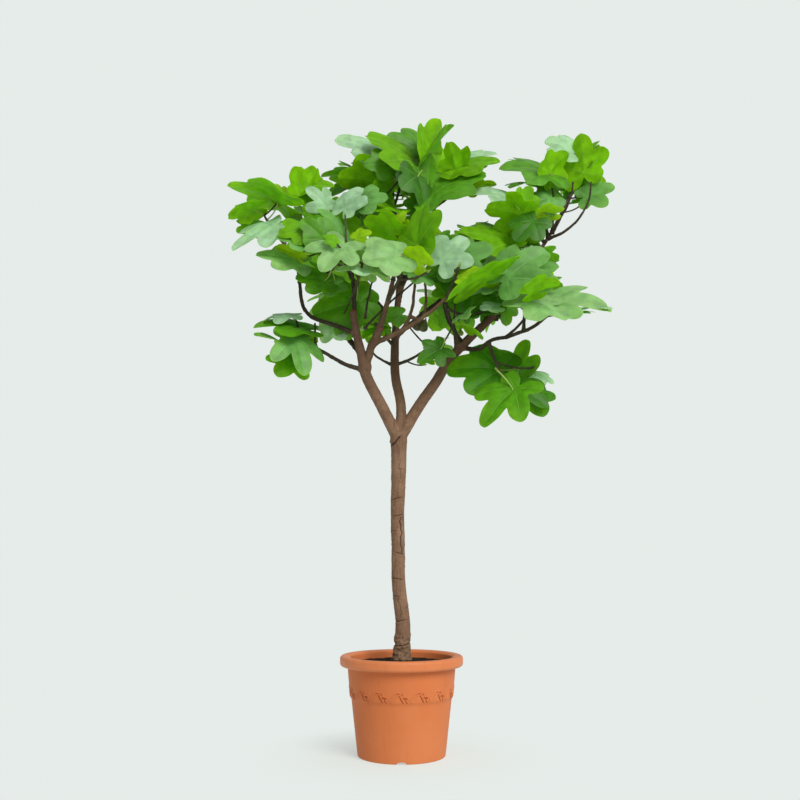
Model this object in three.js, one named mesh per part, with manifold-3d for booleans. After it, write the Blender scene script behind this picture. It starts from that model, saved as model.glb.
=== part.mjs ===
// A fig tree on a single stem, in a round moulded pot. Millimetres, +Z up, origin at the centre of the pot's
// underside.
//
// The stem forks into three boughs, which carry limbs. Each mass of foliage is one stem that grows from a limb,
// forks into twigs by a seeded rule and bears lobed leaves on long stalks. A leaf that would leave the mass's
// space, or meet a limb, a twig or another leaf, is turned a little and tried again. It is left out if it never
// fits.
import * as THREE from "three";
import { mergeVertices } from "three/addons/utils/BufferGeometryUtils.js";
import Module from "manifold-3d";

const wasm = await Module();
wasm.setup();

// ---------------------------------------------------------------- driving dimensions
const CLEARANCE = 0.3; // between touching pieces

const POT = {
  height: 280,
  rimRadius: 180,
  rimDepth: 30, // of the rolled rim's outer face
  rimRound: 9,
  mouthRadius: 148,
  mouthDip: 5, // how far the rim's top slopes down to the mouth
  collarRadius: 158, // of the body just under the rim
  bandTop: 168, // height of the small step under the ornament
  bandRadius: 150.5,
  bandStep: 4.5, // how far the body steps in
  bandBottom: 160,
  footRadius: 127,
  footChamfer: 3,
  wall: 9,
  floor: 13,
  channelWidth: 29, // of the drainage channels across the underside
  channelHeight: 7,
  channelInner: 52, // radius where the channels begin
  channels: 4,
  segments: 36,
};

const SOIL_TOP = 260;

const TRUNK_SIDES = 10;
const BOUGH_SIDES = 7;
const LIMB_SIDES = 6;
const STEM_SIDES = 4;
const STATION_STEP = 62; // length of stem or limb between rings of vertices
const FORK = [-9, 0, 915]; // where the three boughs part
const FORK_RADIUS = 64; // the boughs begin this far from it

// Control points down the middle of the stem, each with the radius there.
const TRUNK = [
  [1, 0, SOIL_TOP + CLEARANCE, 31],
  [1, 0, 280, 26],
  [2, 0, 312, 23],
  [4, 0, 375, 21.5],
  [-3, 0, 432, 21],
  [-9, 0, 492, 20.5],
  [-10, 0, 596, 20],
  [-12, 0, 703, 20.5],
  [-9, 0, 793, 22],
  [-8, 0, 884, 24],
  [-9, 0, 936, 27],
];

// Boughs and limbs, each after the one that carries it: control points down the middle, with radii.
const BOUGHS = {
  bough_left: [
    [...FORK, 19], [-62, -25, 1019, 17.5], [-107, -55, 1105, 16.5], [-122, -80, 1171, 14],
    [-136, -95, 1229, 12], [-144, -105, 1282, 10.5],
  ],
  bough_middle: [
    [...FORK, 17], [-17, 30, 1043, 15], [-22, 55, 1127, 14.5], [-21, 80, 1213, 13.5],
    [-18, 105, 1301, 12], [-11, 130, 1391, 10], [-5, 155, 1483, 8],
  ],
  bough_right: [
    [...FORK, 19], [59, -20, 1025, 17], [105, -35, 1088, 16], [141, -45, 1148, 15],
    [178, -55, 1189, 14], [233, -60, 1244, 12.5], [282, -60, 1288, 11],
  ],
};
const LIMBS = {
  limb_left_inner: [
    [-110, -58, 1122, 13], [-92, -88, 1180, 12], [-72, -105, 1226, 10], [-50, -125, 1282, 7.5],
    [-25, -150, 1374, 6],
  ],
  limb_left_cross: [
    [-86, -94, 1193, 8], [-28, -120, 1212, 7.5], [22, -140, 1235, 7], [84, -165, 1272, 6],
    [133, -190, 1311, 5],
  ],
  limb_left_far: [
    [-133, -93, 1222, 8], [-185, -95, 1244, 6.5], [-230, -95, 1260, 6], [-276, -90, 1280, 5.5],
    [-301, -85, 1322, 5.5], [-309, -80, 1379, 5], [-321, -70, 1468, 5],
  ],
  limb_left_low: [
    [-112, -62, 1118, 8], [-170, -65, 1137, 6], [-216, -65, 1162, 5.5], [-253, -60, 1185, 5],
  ],
  limb_left_upright: [[-143, -104, 1274, 7.5], [-142, -115, 1338, 6], [-148, -130, 1405, 5]],
  limb_left_back: [
    [-118, -75, 1160, 9], [-176, 0, 1250, 7.5], [-214, 90, 1360, 6.5], [-243, 150, 1482, 5.5],
  ],
  limb_middle_top: [[-6, 152, 1474, 7.5], [-18, 160, 1589, 7], [-28, 150, 1690, 6], [-28, 140, 1774, 5]],
  limb_middle_right: [
    [-9, 138, 1420, 8], [35, 130, 1506, 7], [77, 110, 1588, 6.5], [103, 90, 1667, 6],
    [116, 80, 1732, 5.5],
  ],
  limb_middle_back_left: [[-18, 106, 1304, 8], [-88, 190, 1408, 7], [-170, 260, 1505, 5.5]],
  limb_middle_back_right: [[-20, 92, 1256, 8], [78, 190, 1366, 7], [184, 270, 1465, 5.5]],
  limb_middle_back: [[-14, 120, 1356, 8], [2, 230, 1470, 7], [12, 310, 1600, 5.5]],
  limb_right_up: [
    [276, -60, 1283, 10], [328, -45, 1367, 8], [381, -30, 1442, 7.5], [434, -15, 1512, 7.5],
    [476, 0, 1577, 6.5],
  ],
  limb_right_low: [
    [180, -55, 1191, 8], [231, -80, 1180, 6], [271, -95, 1204, 5.5], [323, -110, 1213, 5.5],
    [390, -125, 1237, 5], [435, -130, 1272, 4.5],
  ],
  limb_right_inner: [
    [176, -55, 1187, 8], [158, -92, 1240, 5.5], [142, -112, 1275, 5], [130, -135, 1325, 4.5],
  ],
  limb_right_back: [
    [240, -60, 1250, 9], [290, 40, 1333, 7.5], [340, 140, 1445, 6.5], [372, 200, 1542, 5.5],
  ],
};

// Masses of foliage. Each has the limb that carries its stem and how far along it, the stem's tip, which is also
// the centre of the space the mass keeps to, that space's half sizes, the most leaves and side twigs it grows, the
// length of a full-grown blade, and the turn of its leaves about the stem in degrees.
const mass = (limb, along, tip, space, leaves, twigs, blade, turn) => {
  return { limb, along, tip, space, leaves, twigs, blade, turn };
};
const MASSES = {
  left_tip: mass("limb_left_far", 1, [-425, -70, 1605], [112, 120, 112], 6, 1, 155, 285),
  left_low: mass("limb_left_low", 1, [-325, -65, 1190], [98, 110, 95], 5, 1, 145, 120),
  top_centre: mass("limb_middle_right", 1, [95, 50, 1845], [120, 125, 125], 7, 1, 145, 345),
  top_left: mass("limb_middle_top", 1, [-100, 110, 1835], [130, 130, 120], 7, 1, 150, 255),
  top_right: mass("limb_middle_right", 0.85, [212, 20, 1765], [102, 115, 98], 6, 1, 145, 330),
  right_tip: mass("limb_right_up", 1, [580, 30, 1800], [135, 125, 120], 7, 1, 155, 30),
  right_top: mass("limb_right_up", 0.92, [430, 10, 1770], [115, 120, 115], 6, 0, 145, 45),
  right_low_tip: mass("limb_right_low", 1, [505, -140, 1290], [105, 110, 60], 4, 0, 150, 180),
  right_hanging: mass("limb_right_low", 0.35, [295, -130, 1085], [150, 115, 120], 8, 2, 160, 60),
  left_top: mass("limb_left_far", 0.85, [-295, 0, 1665], [135, 130, 125], 7, 1, 150, 90),
  right_upper: mass("limb_right_up", 0.85, [370, -60, 1630], [120, 125, 105], 6, 0, 145, 315),
  inner_low: mass("bough_middle", 0.4, [85, 50, 1215], [60, 70, 60], 2, 0, 85, 75),
  left_front: mass("limb_left_upright", 1, [-270, -190, 1485], [135, 130, 110], 7, 1, 150, 210),
  right_front: mass("limb_right_up", 0.2, [340, -190, 1390], [130, 130, 110], 6, 1, 160, 255),
  centre_front: mass("limb_left_inner", 0.85, [20, -255, 1420], [130, 130, 105], 6, 1, 150, 345),
  centre_right: mass("limb_left_cross", 1, [170, -250, 1400], [130, 130, 115], 6, 1, 160, 270),
  left_centre: mass("limb_left_upright", 0.55, [-115, -180, 1415], [120, 130, 110], 6, 0, 145, 60),
  right_inner: mass("limb_right_inner", 0.8, [195, -165, 1265], [100, 110, 90], 5, 0, 130, 135),
  right_mid: mass("limb_right_low", 0.72, [375, -85, 1355], [105, 110, 90], 5, 0, 140, 345),
  centre: mass("limb_left_inner", 1, [0, -90, 1565], [135, 130, 120], 7, 1, 150, 45),
  right_centre: mass("limb_right_up", 0.45, [275, 0, 1520], [130, 130, 120], 7, 1, 150, 255),
  left_inner: mass("bough_middle", 0.52, [-105, 50, 1325], [80, 90, 100], 4, 0, 120, 120),
  back_left_top: mass("limb_left_back", 1, [-210, 190, 1715], [140, 130, 130], 6, 1, 155, 270),
  back_left: mass("limb_middle_back_left", 1, [-225, 330, 1655], [150, 140, 130], 6, 1, 160, 345),
  back_left_low: mass("limb_left_back", 0.7, [-210, 230, 1450], [120, 130, 120], 6, 0, 150, 255),
  back_top: mass("limb_middle_top", 0.75, [0, 270, 1860], [130, 130, 120], 6, 1, 150, 150),
  back_centre: mass("limb_middle_back", 1, [30, 390, 1770], [150, 140, 140], 6, 1, 160, 105),
  back_right_top: mass("limb_middle_back_right", 1, [240, 320, 1615], [135, 140, 120], 6, 1, 155, 195),
  back_low: mass("limb_middle_back_right", 0.75, [175, 340, 1455], [110, 130, 110], 6, 0, 145, 285),
  back_right: mass("limb_right_back", 1, [420, 270, 1610], [125, 135, 110], 6, 1, 150, 150),
  back_right_low: mass("limb_right_back", 0.6, [350, 220, 1430], [135, 130, 110], 6, 0, 150, 150),
};

const STEM = { mostRadius: 5.5, tipRadius: 3.2, knee: 0.55, sag: 0.16 }; // it sags by that share at its knee
const TWIG = {
  radius: 3,
  length: 105, // with a blade of 150
  first: 0.5, // share of the stem below the first twig
  step: 0.2, // and from one twig to the next
  way: { along: 0.55, aside: 0.8, up: 0.25 }, // its direction from the stem's
  sway: 20, // degrees that it is turned by, more with each try
  tries: 8,
  leaves: 3, // places for leaves on it
  lowestLeaf: 0.55,
};
const STALK_RADIUS = 2.6;
const LEAF_THICKNESS = 3; // where the ribs meet; the edge is sharp
const LEAF_TRIES = 60;
const LEAF_SHRINK = 0.004; // of its size, each time a leaf is tried again
const LEAF_GAP = 3; // between a leaf and anything of another mass
const OWN_GAP = 1; // between blades of one mass
const SPARE_SLOTS = 3; // places on a stem over the number of leaves it may bear
const LOWEST_LEAF = 0.45; // share of the stem below its lowest leaf
const SPACE_EASE = 1.32; // how far past its space's half sizes a leaf may reach
const GOLDEN_ANGLE = 137.5;

// How a leaf sits, from the oldest on a shoot to the youngest at its tip.
const SPREAD = [82, 30]; // degrees between shoot and stalk
const DROOP = [50, -40]; // degrees of the midrib below the horizontal
const STALK_LENGTH = [0.46, 0.26]; // as a share of the blade's length
const BLADE_SCALE = [1, 0.7];

// How far a leaf may stray from that: at its first try, and how much more at each further one.
const SWAY = {
  turn: [14, 4],
  spread: [8, 1],
  length: [0.12, 0],
  stalk: [0.2, 0.01],
  droop: [16, 1],
  roll: [24, 1.25],
};

// The blade's outline on one side of the midrib, seen from the stalk: degrees from the midrib, and reach as a
// share of the blade's length. Lobes are fixed, and the bays between them are cut by the leaf's own depth.
const LOBES = [
  [10, 0.97],
  [28, "bay"],
  [42, 0.87],
  [60, 0.83],
  [79, "bay"],
  [107, 0.6],
  [147, 0.43],
];
const NOTCH = 0.1; // reach of the notch where the stalk comes in
const BAY_DEPTH = [0.48, 0.7];
const BLADE_FOLD = 0.22; // rise of the blade either side of the midrib
const BLADE_ARCH = 0.3; // fall towards the tip
const BLADE_CURL = 0.42; // fall towards the side lobes

// ---------------------------------------------------------------- materials
const finish = (color, roughness) => new THREE.MeshStandardMaterial({ color, roughness, metalness: 0 });
const TERRACOTTA = finish(0xcd7245, 0.55);
const POTTING_MIX = finish(0x1e1611, 0.95);
const BARK = finish(0x846b56, 0.85);
const FOLIAGE = finish(0x4f9226, 0.5);

// ---------------------------------------------------------------- small helpers
const vec = (p) => new THREE.Vector3(p[0], p[1], p[2]);
const UP = new THREE.Vector3(0, 0, 1);
const EAST = new THREE.Vector3(1, 0, 0);
const radians = THREE.MathUtils.degToRad;
const lerp = THREE.MathUtils.lerp;

/** A seeded generator of numbers from 0 to 1. */
function seeded(seed) {
  let state = seed >>> 0;
  return () => {
    state = (state + 0x6d2b79f5) >>> 0;
    let t = Math.imul(state ^ (state >>> 15), state | 1);
    t ^= t + Math.imul(t ^ (t >>> 7), t | 61);
    return ((t ^ (t >>> 14)) >>> 0) / 4294967296;
  };
}

/** A closed geometry as a solid. */
function solidOf(geometry) {
  const bare = new THREE.BufferGeometry().setAttribute("position", geometry.getAttribute("position"));
  bare.setIndex(geometry.getIndex());
  const merged = mergeVertices(bare, 1e-3);
  const corners = [];
  for (let i = 0; i < merged.index.count; i += 3) {
    const [a, b, c] = [0, 1, 2].map((k) => merged.index.getX(i + k));
    if (a !== b && b !== c && a !== c) corners.push(a, b, c);
  }
  const vertProperties = new Float32Array(merged.getAttribute("position").array);
  return new wasm.Manifold(new wasm.Mesh({ numProp: 3, vertProperties, triVerts: new Uint32Array(corners) }));
}

/** The largest body of a solid, without the scraps that a cut leaves. */
function largest(solid) {
  return solid.decompose().reduce((best, body) => (body.volume() > best.volume() ? body : best));
}

/** A solid as a named mesh. */
function meshOf(name, solid, material) {
  const { vertProperties, triVerts } = solid.getMesh();
  const geometry = new THREE.BufferGeometry();
  geometry.setAttribute("position", new THREE.BufferAttribute(new Float32Array(vertProperties), 3));
  geometry.setIndex(new THREE.BufferAttribute(new Uint32Array(triVerts), 1));
  geometry.computeVertexNormals();
  const mesh = new THREE.Mesh(geometry, material);
  mesh.name = name;
  return mesh;
}

/** A solid of revolution about +Z from a profile of [radius, height]. */
function turned(profile, segments) {
  const points = profile.map(([radius, height]) => new THREE.Vector2(radius, height));
  return solidOf(new THREE.LatheGeometry(points, segments).rotateX(Math.PI / 2));
}

/** Points of a quarter round about a centre, from one angle to another, in degrees. */
function arc(centre, radius, from, to, steps) {
  return Array.from({ length: steps + 1 }, (_, i) => {
    const angle = radians(lerp(from, to, i / steps));
    return [centre[0] + radius * Math.cos(angle), centre[1] + radius * Math.sin(angle)];
  });
}

// ---------------------------------------------------------------- pot and soil
/** Outer radius of the pot's body at a height. */
function bodyRadius(height) {
  const { footRadius, bandRadius, bandStep, bandTop, bandBottom, collarRadius, rimDepth } = POT;
  const under = POT.height - rimDepth;
  if (height <= bandBottom) return lerp(footRadius, bandRadius - bandStep, height / bandBottom);
  if (height <= bandTop) return bandRadius - (bandStep * (bandTop - height)) / (bandTop - bandBottom);
  return lerp(bandRadius, collarRadius, (height - bandTop) / (under - bandTop));
}

/** Inner radius of the pot at a height. */
function innerRadius(height) {
  const { bandBottom, mouthRadius, rimRound, wall } = POT;
  if (height <= bandBottom) return bodyRadius(height) - wall;
  const share = (height - bandBottom) / (POT.height - rimRound - bandBottom);
  return lerp(bodyRadius(bandBottom) - wall, mouthRadius, share);
}

/** The pot: a tapering body with a small step, a rolled rim and drainage channels across its underside. */
function potSolid() {
  const { height, rimRadius, rimDepth, rimRound, mouthRadius, mouthDip, footChamfer, floor } = POT;
  const under = height - rimDepth;
  const profile = [
    [0, 0],
    [POT.footRadius - footChamfer, 0],
    [bodyRadius(footChamfer), footChamfer],
    [bodyRadius(POT.bandBottom), POT.bandBottom],
    [bodyRadius(POT.bandTop), POT.bandTop],
    [bodyRadius(under), under],
    ...arc([rimRadius - rimRound, under + rimRound], rimRound, -90, 0, 2),
    ...arc([rimRadius - rimRound, height - rimRound], rimRound, 0, 90, 2),
    [mouthRadius + mouthDip, height - mouthDip / 2],
    [mouthRadius, height - rimRound],
    [innerRadius(POT.bandBottom), POT.bandBottom],
    [innerRadius(floor), floor],
    [0, floor],
  ];
  const channel = new THREE.BoxGeometry(POT.channelWidth, POT.footRadius, 2 * POT.channelHeight);
  channel.translate(0, -POT.channelInner - POT.footRadius / 2, 0);
  const cuts = Array.from({ length: POT.channels }, (_, i) =>
    solidOf(channel.clone().rotateZ((i * 2 * Math.PI) / POT.channels)),
  );
  return turned(profile, POT.segments).subtract(wasm.Manifold.union(cuts));
}

/** The potting mix, which fills the pot to a little under its rim. */
function soilSolid() {
  const at = (height) => [innerRadius(height) - 2 * CLEARANCE, height];
  const bottom = POT.floor + CLEARANCE;
  return turned([[0, bottom], at(bottom), at(POT.bandBottom), at(SOIL_TOP), [0, SOIL_TOP]], POT.segments);
}

// ---------------------------------------------------------------- wood
/** A run of wood: rings at even steps along a curve, each with a centre and a radius. */
function woodRun(curve, radiusAt) {
  const count = Math.max(2, Math.round(curve.getLength() / STATION_STEP));
  return Array.from({ length: count + 1 }, (_, k) => ({
    centre: curve.getPoint(k / count),
    radius: radiusAt(k / count),
  }));
}

/** The run through control points of [x, y, z, radius]. */
function limbRun(points) {
  const curve = new THREE.CatmullRomCurve3(points.map(vec), false, "centripetal");
  return woodRun(curve, (t) => {
    const place = t * (points.length - 1);
    const i = Math.min(Math.floor(place), points.length - 2);
    return lerp(points[i][3], points[i + 1][3], place - i);
  });
}

/** A run from a start to a tip that leaves level and turns upwards, and thins on the way. */
function stemRun(start, tip, fromRadius, toRadius) {
  const reach = tip.clone().sub(start);
  const knee = start.clone().addScaledVector(reach, STEM.knee);
  knee.z -= STEM.sag * Math.hypot(reach.x, reach.y);
  return woodRun(new THREE.QuadraticBezierCurve3(start, knee, tip), (t) => lerp(fromRadius, toRadius, t));
}

/** The point, direction and radius a share of the way along a run. */
function onRun(run, share) {
  const place = share * (run.length - 1);
  const i = Math.min(Math.floor(place), run.length - 2);
  const [a, b] = [run[i], run[i + 1]];
  return {
    point: a.centre.clone().lerp(b.centre, place - i),
    direction: b.centre.clone().sub(a.centre).normalize(),
    radius: lerp(a.radius, b.radius, place - i),
  };
}

/** A run as a closed rod, swollen by a margin and carried on by it past both ends. */
function rodSolid(run, sides, margin = 0) {
  const positions = [];
  const corners = [];
  const last = run.length - 1;
  const side = new THREE.Vector3();
  run.forEach(({ centre, radius }, k) => {
    const tangent = run[Math.min(k + 1, last)].centre.clone().sub(run[Math.max(k - 1, 0)].centre).normalize();
    if (k === 0) side.set(0, 1, 0).cross(tangent);
    side.addScaledVector(tangent, -side.dot(tangent)).normalize();
    const other = tangent.clone().cross(side);
    const runOn = k === 0 ? -margin : k === last ? margin : 0;
    for (let j = 0; j < sides; j++) {
      const angle = (2 * Math.PI * j) / sides;
      const p = centre.clone().addScaledVector(tangent, runOn);
      p.addScaledVector(side, (radius + margin) * Math.cos(angle));
      p.addScaledVector(other, (radius + margin) * Math.sin(angle));
      positions.push(p);
      const [a, b] = [k * sides + j, k * sides + ((j + 1) % sides)];
      if (k < last) corners.push(a, b, b + sides, a, b + sides, a + sides);
    }
  });
  for (let j = 1; j < sides - 1; j++) {
    corners.push(0, j + 1, j, last * sides, last * sides + j, last * sides + j + 1);
  }
  const geometry = new THREE.BufferGeometry().setFromPoints(positions);
  geometry.setIndex(corners);
  return solidOf(geometry);
}

/** The straight stretches of a run, for the test of what a leaf meets. */
function stretches(run, owner) {
  return run.slice(1).map(({ centre, radius }, k) => ({
    from: run[k].centre,
    to: centre,
    radius: Math.max(radius, run[k].radius),
    owner,
  }));
}

// ---------------------------------------------------------------- leaves
/** Outline of a blade of length 1, as [along the midrib, across it], round from the tip. */
function bladeOutline(bayDepth) {
  const half = LOBES.map(([degrees, reach]) => [radians(degrees), reach === "bay" ? bayDepth : reach]);
  const ring = [...half, [Math.PI, NOTCH], ...half.map(([angle, reach]) => [-angle, reach]).reverse()];
  return ring.map(([angle, reach]) => [reach * Math.cos(angle), reach * Math.sin(angle)]);
}

/** How far a point of a blade of length 1 stands above its flat plane. */
function bladeRise(along, across) {
  return BLADE_FOLD * Math.abs(across) - BLADE_CURL * across * across - BLADE_ARCH * along * Math.abs(along);
}

/** Whether a point is in a mass's space, an ellipsoid about its centre. */
function isInside(point, centre, reach) {
  const share = point.toArray().map((value, axis) => (value - centre[axis]) / (reach[axis] * SPACE_EASE));
  return Math.hypot(...share) < 1;
}

/** Works out one try of the leaf at a slot on a shoot: its stalk, and its blade's centre and outline. */
function leafAt({ shoot, place, rank, turn }, size, random, attempt) {
  const sway = ([first, more]) => (random() * 2 - 1) * (first + more * attempt);
  const { point: root, direction: axis } = onRun(shoot, place);
  const sideways = new THREE.Vector3().crossVectors(axis, Math.abs(axis.z) > 0.9 ? EAST : UP).normalize();
  sideways.applyAxisAngle(axis, radians(turn + sway(SWAY.turn)));
  const spread = radians(lerp(...SPREAD, rank) + sway(SWAY.spread));
  const stalk = axis.clone().multiplyScalar(Math.cos(spread)).addScaledVector(sideways, Math.sin(spread));
  const length = size * lerp(...BLADE_SCALE, rank) * (1 + sway(SWAY.length));
  const reach = size * lerp(...STALK_LENGTH, rank) * (1 + sway(SWAY.stalk));
  const centre = root.clone().addScaledVector(stalk, reach);
  const level = new THREE.Vector3(stalk.x, stalk.y, 0).normalize();
  const droop = radians(lerp(...DROOP, rank) + sway(SWAY.droop));
  const midrib = level.multiplyScalar(Math.cos(droop)).addScaledVector(UP, -Math.sin(droop));
  const normal = UP.clone().addScaledVector(midrib, -midrib.z).normalize();
  normal.applyAxisAngle(midrib, radians(sway(SWAY.roll)));
  const across = normal.clone().cross(midrib);
  const outline = bladeOutline(lerp(...BAY_DEPTH, random())).map(([a, b]) =>
    centre
      .clone()
      .addScaledVector(midrib, a * length)
      .addScaledVector(across, b * length)
      .addScaledVector(normal, bladeRise(a, b) * length),
  );
  return { root, centre, midrib, normal, length, outline, notch: LOBES.length };
}

/** A leaf's stalk, edges and ribs as thin rods, and its blade as triangles. */
function leafParts(leaf, owner) {
  const stalk = { from: leaf.root, to: leaf.centre, radius: STALK_RADIUS, owner };
  const blade = [];
  const triangles = [];
  leaf.outline.forEach((point, i) => {
    const next = leaf.outline[(i + 1) % leaf.outline.length];
    blade.push({ from: point, to: next, radius: LEAF_THICKNESS / 2, owner });
    if (i % 2 === 0) blade.push({ from: leaf.centre, to: point, radius: LEAF_THICKNESS / 2, owner });
    triangles.push([leaf.centre, point, next]);
  });
  return { blade, rods: [stalk, ...blade], triangles, centre: leaf.centre, radius: leaf.length, owner };
}

/** Shortest distance between two straight rods' middles. */
function rodGap(p, q) {
  const [ux, uy, uz] = [p.to.x - p.from.x, p.to.y - p.from.y, p.to.z - p.from.z];
  const [vx, vy, vz] = [q.to.x - q.from.x, q.to.y - q.from.y, q.to.z - q.from.z];
  const [wx, wy, wz] = [p.from.x - q.from.x, p.from.y - q.from.y, p.from.z - q.from.z];
  const a = ux * ux + uy * uy + uz * uz;
  const b = ux * vx + uy * vy + uz * vz;
  const c = vx * vx + vy * vy + vz * vz;
  const d = ux * wx + uy * wy + uz * wz;
  const e = vx * wx + vy * wy + vz * wz;
  const spread = a * c - b * b;
  let s = spread > 1e-9 ? THREE.MathUtils.clamp((b * e - c * d) / spread, 0, 1) : 0;
  const t = THREE.MathUtils.clamp((b * s + e) / c, 0, 1);
  s = THREE.MathUtils.clamp((b * t - d) / a, 0, 1);
  return Math.hypot(wx + s * ux - t * vx, wy + s * uy - t * vy, wz + s * uz - t * vz);
}

/** Whether a rod's middle passes through a triangle. */
function rodCrosses(rod, [a, b, c]) {
  const along = rod.to.clone().sub(rod.from);
  const ab = b.clone().sub(a);
  const ac = c.clone().sub(a);
  const across = along.clone().cross(ac);
  const scale = ab.dot(across);
  if (Math.abs(scale) < 1e-9) return false;
  const from = rod.from.clone().sub(a);
  const u = from.dot(across) / scale;
  if (u < 0 || u > 1) return false;
  const turned = from.cross(ab);
  const v = along.dot(turned) / scale;
  const t = ac.dot(turned) / scale;
  return v >= 0 && u + v <= 1 && t >= 0 && t <= 1;
}

/** Whether two sets of rods keep a gap. */
function areApart(some, others, gap) {
  return !some.some((p) => others.some((q) => rodGap(p, q) < p.radius + q.radius + gap));
}

/** Whether a leaf stays clear of all the wood and leaves so far. */
function isClear(leaf, rods, leaves) {
  const beside = (other) => (other.owner === leaf.owner ? [leaf.blade, OWN_GAP] : [leaf.rods, LEAF_GAP]);
  for (const rod of rods) {
    if (rod.from.distanceTo(leaf.centre) > leaf.radius + 2 * STATION_STEP) continue;
    const [edges, gap] = beside(rod);
    if (!areApart(edges, [rod], gap)) return false;
    if (leaf.triangles.some((triangle) => rodCrosses(rod, triangle))) return false;
  }
  for (const other of leaves) {
    if (other.centre.distanceTo(leaf.centre) > other.radius + leaf.radius + STATION_STEP) continue;
    const [edges, gap] = beside(other);
    if (!areApart(edges, other.owner === leaf.owner ? other.blade : other.rods, gap)) return false;
    if (leaf.rods.some((rod) => other.triangles.some((triangle) => rodCrosses(rod, triangle)))) return false;
    if (other.rods.some((rod) => leaf.triangles.some((triangle) => rodCrosses(rod, triangle)))) return false;
  }
  return true;
}

/** One leaf: the blade as a thin folded lens with a sharp edge, drawn out at its notch into a stalk. */
function leafSolid(leaf) {
  const lift = leaf.normal.clone().multiplyScalar(LEAF_THICKNESS / 2);
  const across = leaf.normal.clone().cross(leaf.midrib);
  const notch = leaf.outline[leaf.notch];
  const edge = [...leaf.outline.slice(leaf.notch + 1), ...leaf.outline.slice(0, leaf.notch)];
  const outward = notch.clone().sub(leaf.root).normalize();
  const stalkRing = ([at, way]) => {
    const wide = across.clone().addScaledVector(way, -across.dot(way)).normalize();
    const high = way.clone().cross(wide);
    return [
      at.clone().addScaledVector(wide, -STALK_RADIUS).addScaledVector(high, STALK_RADIUS / 2),
      at.clone().addScaledVector(wide, STALK_RADIUS).addScaledVector(high, STALK_RADIUS / 2),
      at.clone().addScaledVector(high, -STALK_RADIUS),
    ];
  };
  const rings = [
    [notch, outward.clone().add(leaf.midrib).normalize()],
    [leaf.root, outward],
  ].map(stalkRing);
  const points = [leaf.centre.clone().add(lift), leaf.centre.clone().sub(lift), ...edge, ...rings.flat()];
  const [top, under, first, last, ring] = [0, 1, 2, edge.length + 1, edge.length + 2];
  const corners = [];
  for (let i = first; i < last; i++) corners.push(top, i, i + 1, under, i + 1, i);
  corners.push(top, last, ring + 1, top, ring + 1, ring, top, ring, first);
  corners.push(under, ring + 2, last, under, first, ring + 2);
  corners.push(last, ring + 2, ring + 1, first, ring, ring + 2);
  for (let j = 0; j < 3; j++) {
    const [a, b] = [ring + j, ring + ((j + 1) % 3)];
    corners.push(a, b, b + 3, a, b + 3, a + 3);
  }
  corners.push(ring + 3, ring + 4, ring + 5);
  const geometry = new THREE.BufferGeometry().setFromPoints(points);
  geometry.setIndex(corners);
  return solidOf(geometry);
}

// ---------------------------------------------------------------- the tree
const wood = {};
for (const [name, points] of Object.entries({ trunk: TRUNK, ...BOUGHS, ...LIMBS })) {
  wood[name] = limbRun(points);
}

/** The stem of a mass, from its limb to its tip. */
function stemOf({ limb, along, tip }) {
  const seat = onRun(wood[limb], along);
  return stemRun(seat.point, vec(tip), Math.min(seat.radius, STEM.mostRadius), STEM.tipRadius);
}

/** A side twig that leaves a stem at a share of its length, turned about it. */
function twigOf(stem, place, turn, length) {
  const { point, direction } = onRun(stem, place);
  const side = new THREE.Vector3().crossVectors(direction, UP).normalize();
  side.applyAxisAngle(direction, radians(turn));
  const way = direction.multiplyScalar(TWIG.way.along).addScaledVector(side, TWIG.way.aside);
  way.addScaledVector(UP, TWIG.way.up).normalize();
  return stemRun(point, point.clone().addScaledVector(way, length), TWIG.radius, TWIG.radius);
}

// What the masses have grown so far: wood as rods, and each mass's shoots and leaves.
const names = Object.keys(MASSES);
const shoots = Object.fromEntries(names.map((name) => [name, [stemOf(MASSES[name])]]));
const rods = [
  ...Object.entries(wood).flatMap(([name, run]) => stretches(run, name)),
  ...names.flatMap((name) => stretches(shoots[name][0], name)),
];
const placed = [];

/** Adds a mass's side twigs, each turned until it is clear of all other wood and of the leaves so far. */
function growTwigs(name, index) {
  const { twigs, blade, turn } = MASSES[name];
  const random = seeded(1000 + index);
  for (let k = 0; k < twigs; k++) {
    for (let attempt = 0; attempt < TWIG.tries; attempt++) {
      const sway = TWIG.sway * (2 * attempt + 1) * (random() - 0.5);
      const length = TWIG.length * (blade / 150) * lerp(0.85, 1.15, random());
      const place = TWIG.first + TWIG.step * k;
      const twig = twigOf(shoots[name][0], place, turn + GOLDEN_ANGLE * (k + 1) + sway, length);
      const lengths = stretches(twig, name);
      const others = [...rods.filter((rod) => rod.owner !== name), ...placed.flatMap((leaf) => leaf.rods)];
      if (!areApart(lengths, others, LEAF_GAP)) continue;
      const blades = placed.flatMap((leaf) => leaf.triangles);
      if (lengths.some((rod) => blades.some((triangle) => rodCrosses(rod, triangle)))) continue;
      shoots[name].push(twig);
      rods.push(...lengths);
      break;
    }
  }
}

/** Places on a mass's shoots where a leaf may grow, from the oldest up. */
function slotsOf(name) {
  const { leaves, turn } = MASSES[name];
  const [stem, ...twigs] = shoots[name];
  const most = leaves + SPARE_SLOTS;
  const slots = Array.from({ length: most }, (_, i) => {
    const rank = i / (most - 1);
    return { shoot: stem, place: lerp(LOWEST_LEAF, 1, rank), rank, turn: turn + GOLDEN_ANGLE * i };
  });
  twigs.forEach((shoot, k) => {
    for (let i = 0; i < TWIG.leaves; i++) {
      const rank = 0.3 + (0.5 * i) / (TWIG.leaves - 1);
      const place = lerp(TWIG.lowestLeaf, 1, rank);
      slots.push({ shoot, place, rank, turn: turn + 90 * k + GOLDEN_ANGLE * i });
    }
  });
  return slots;
}

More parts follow.
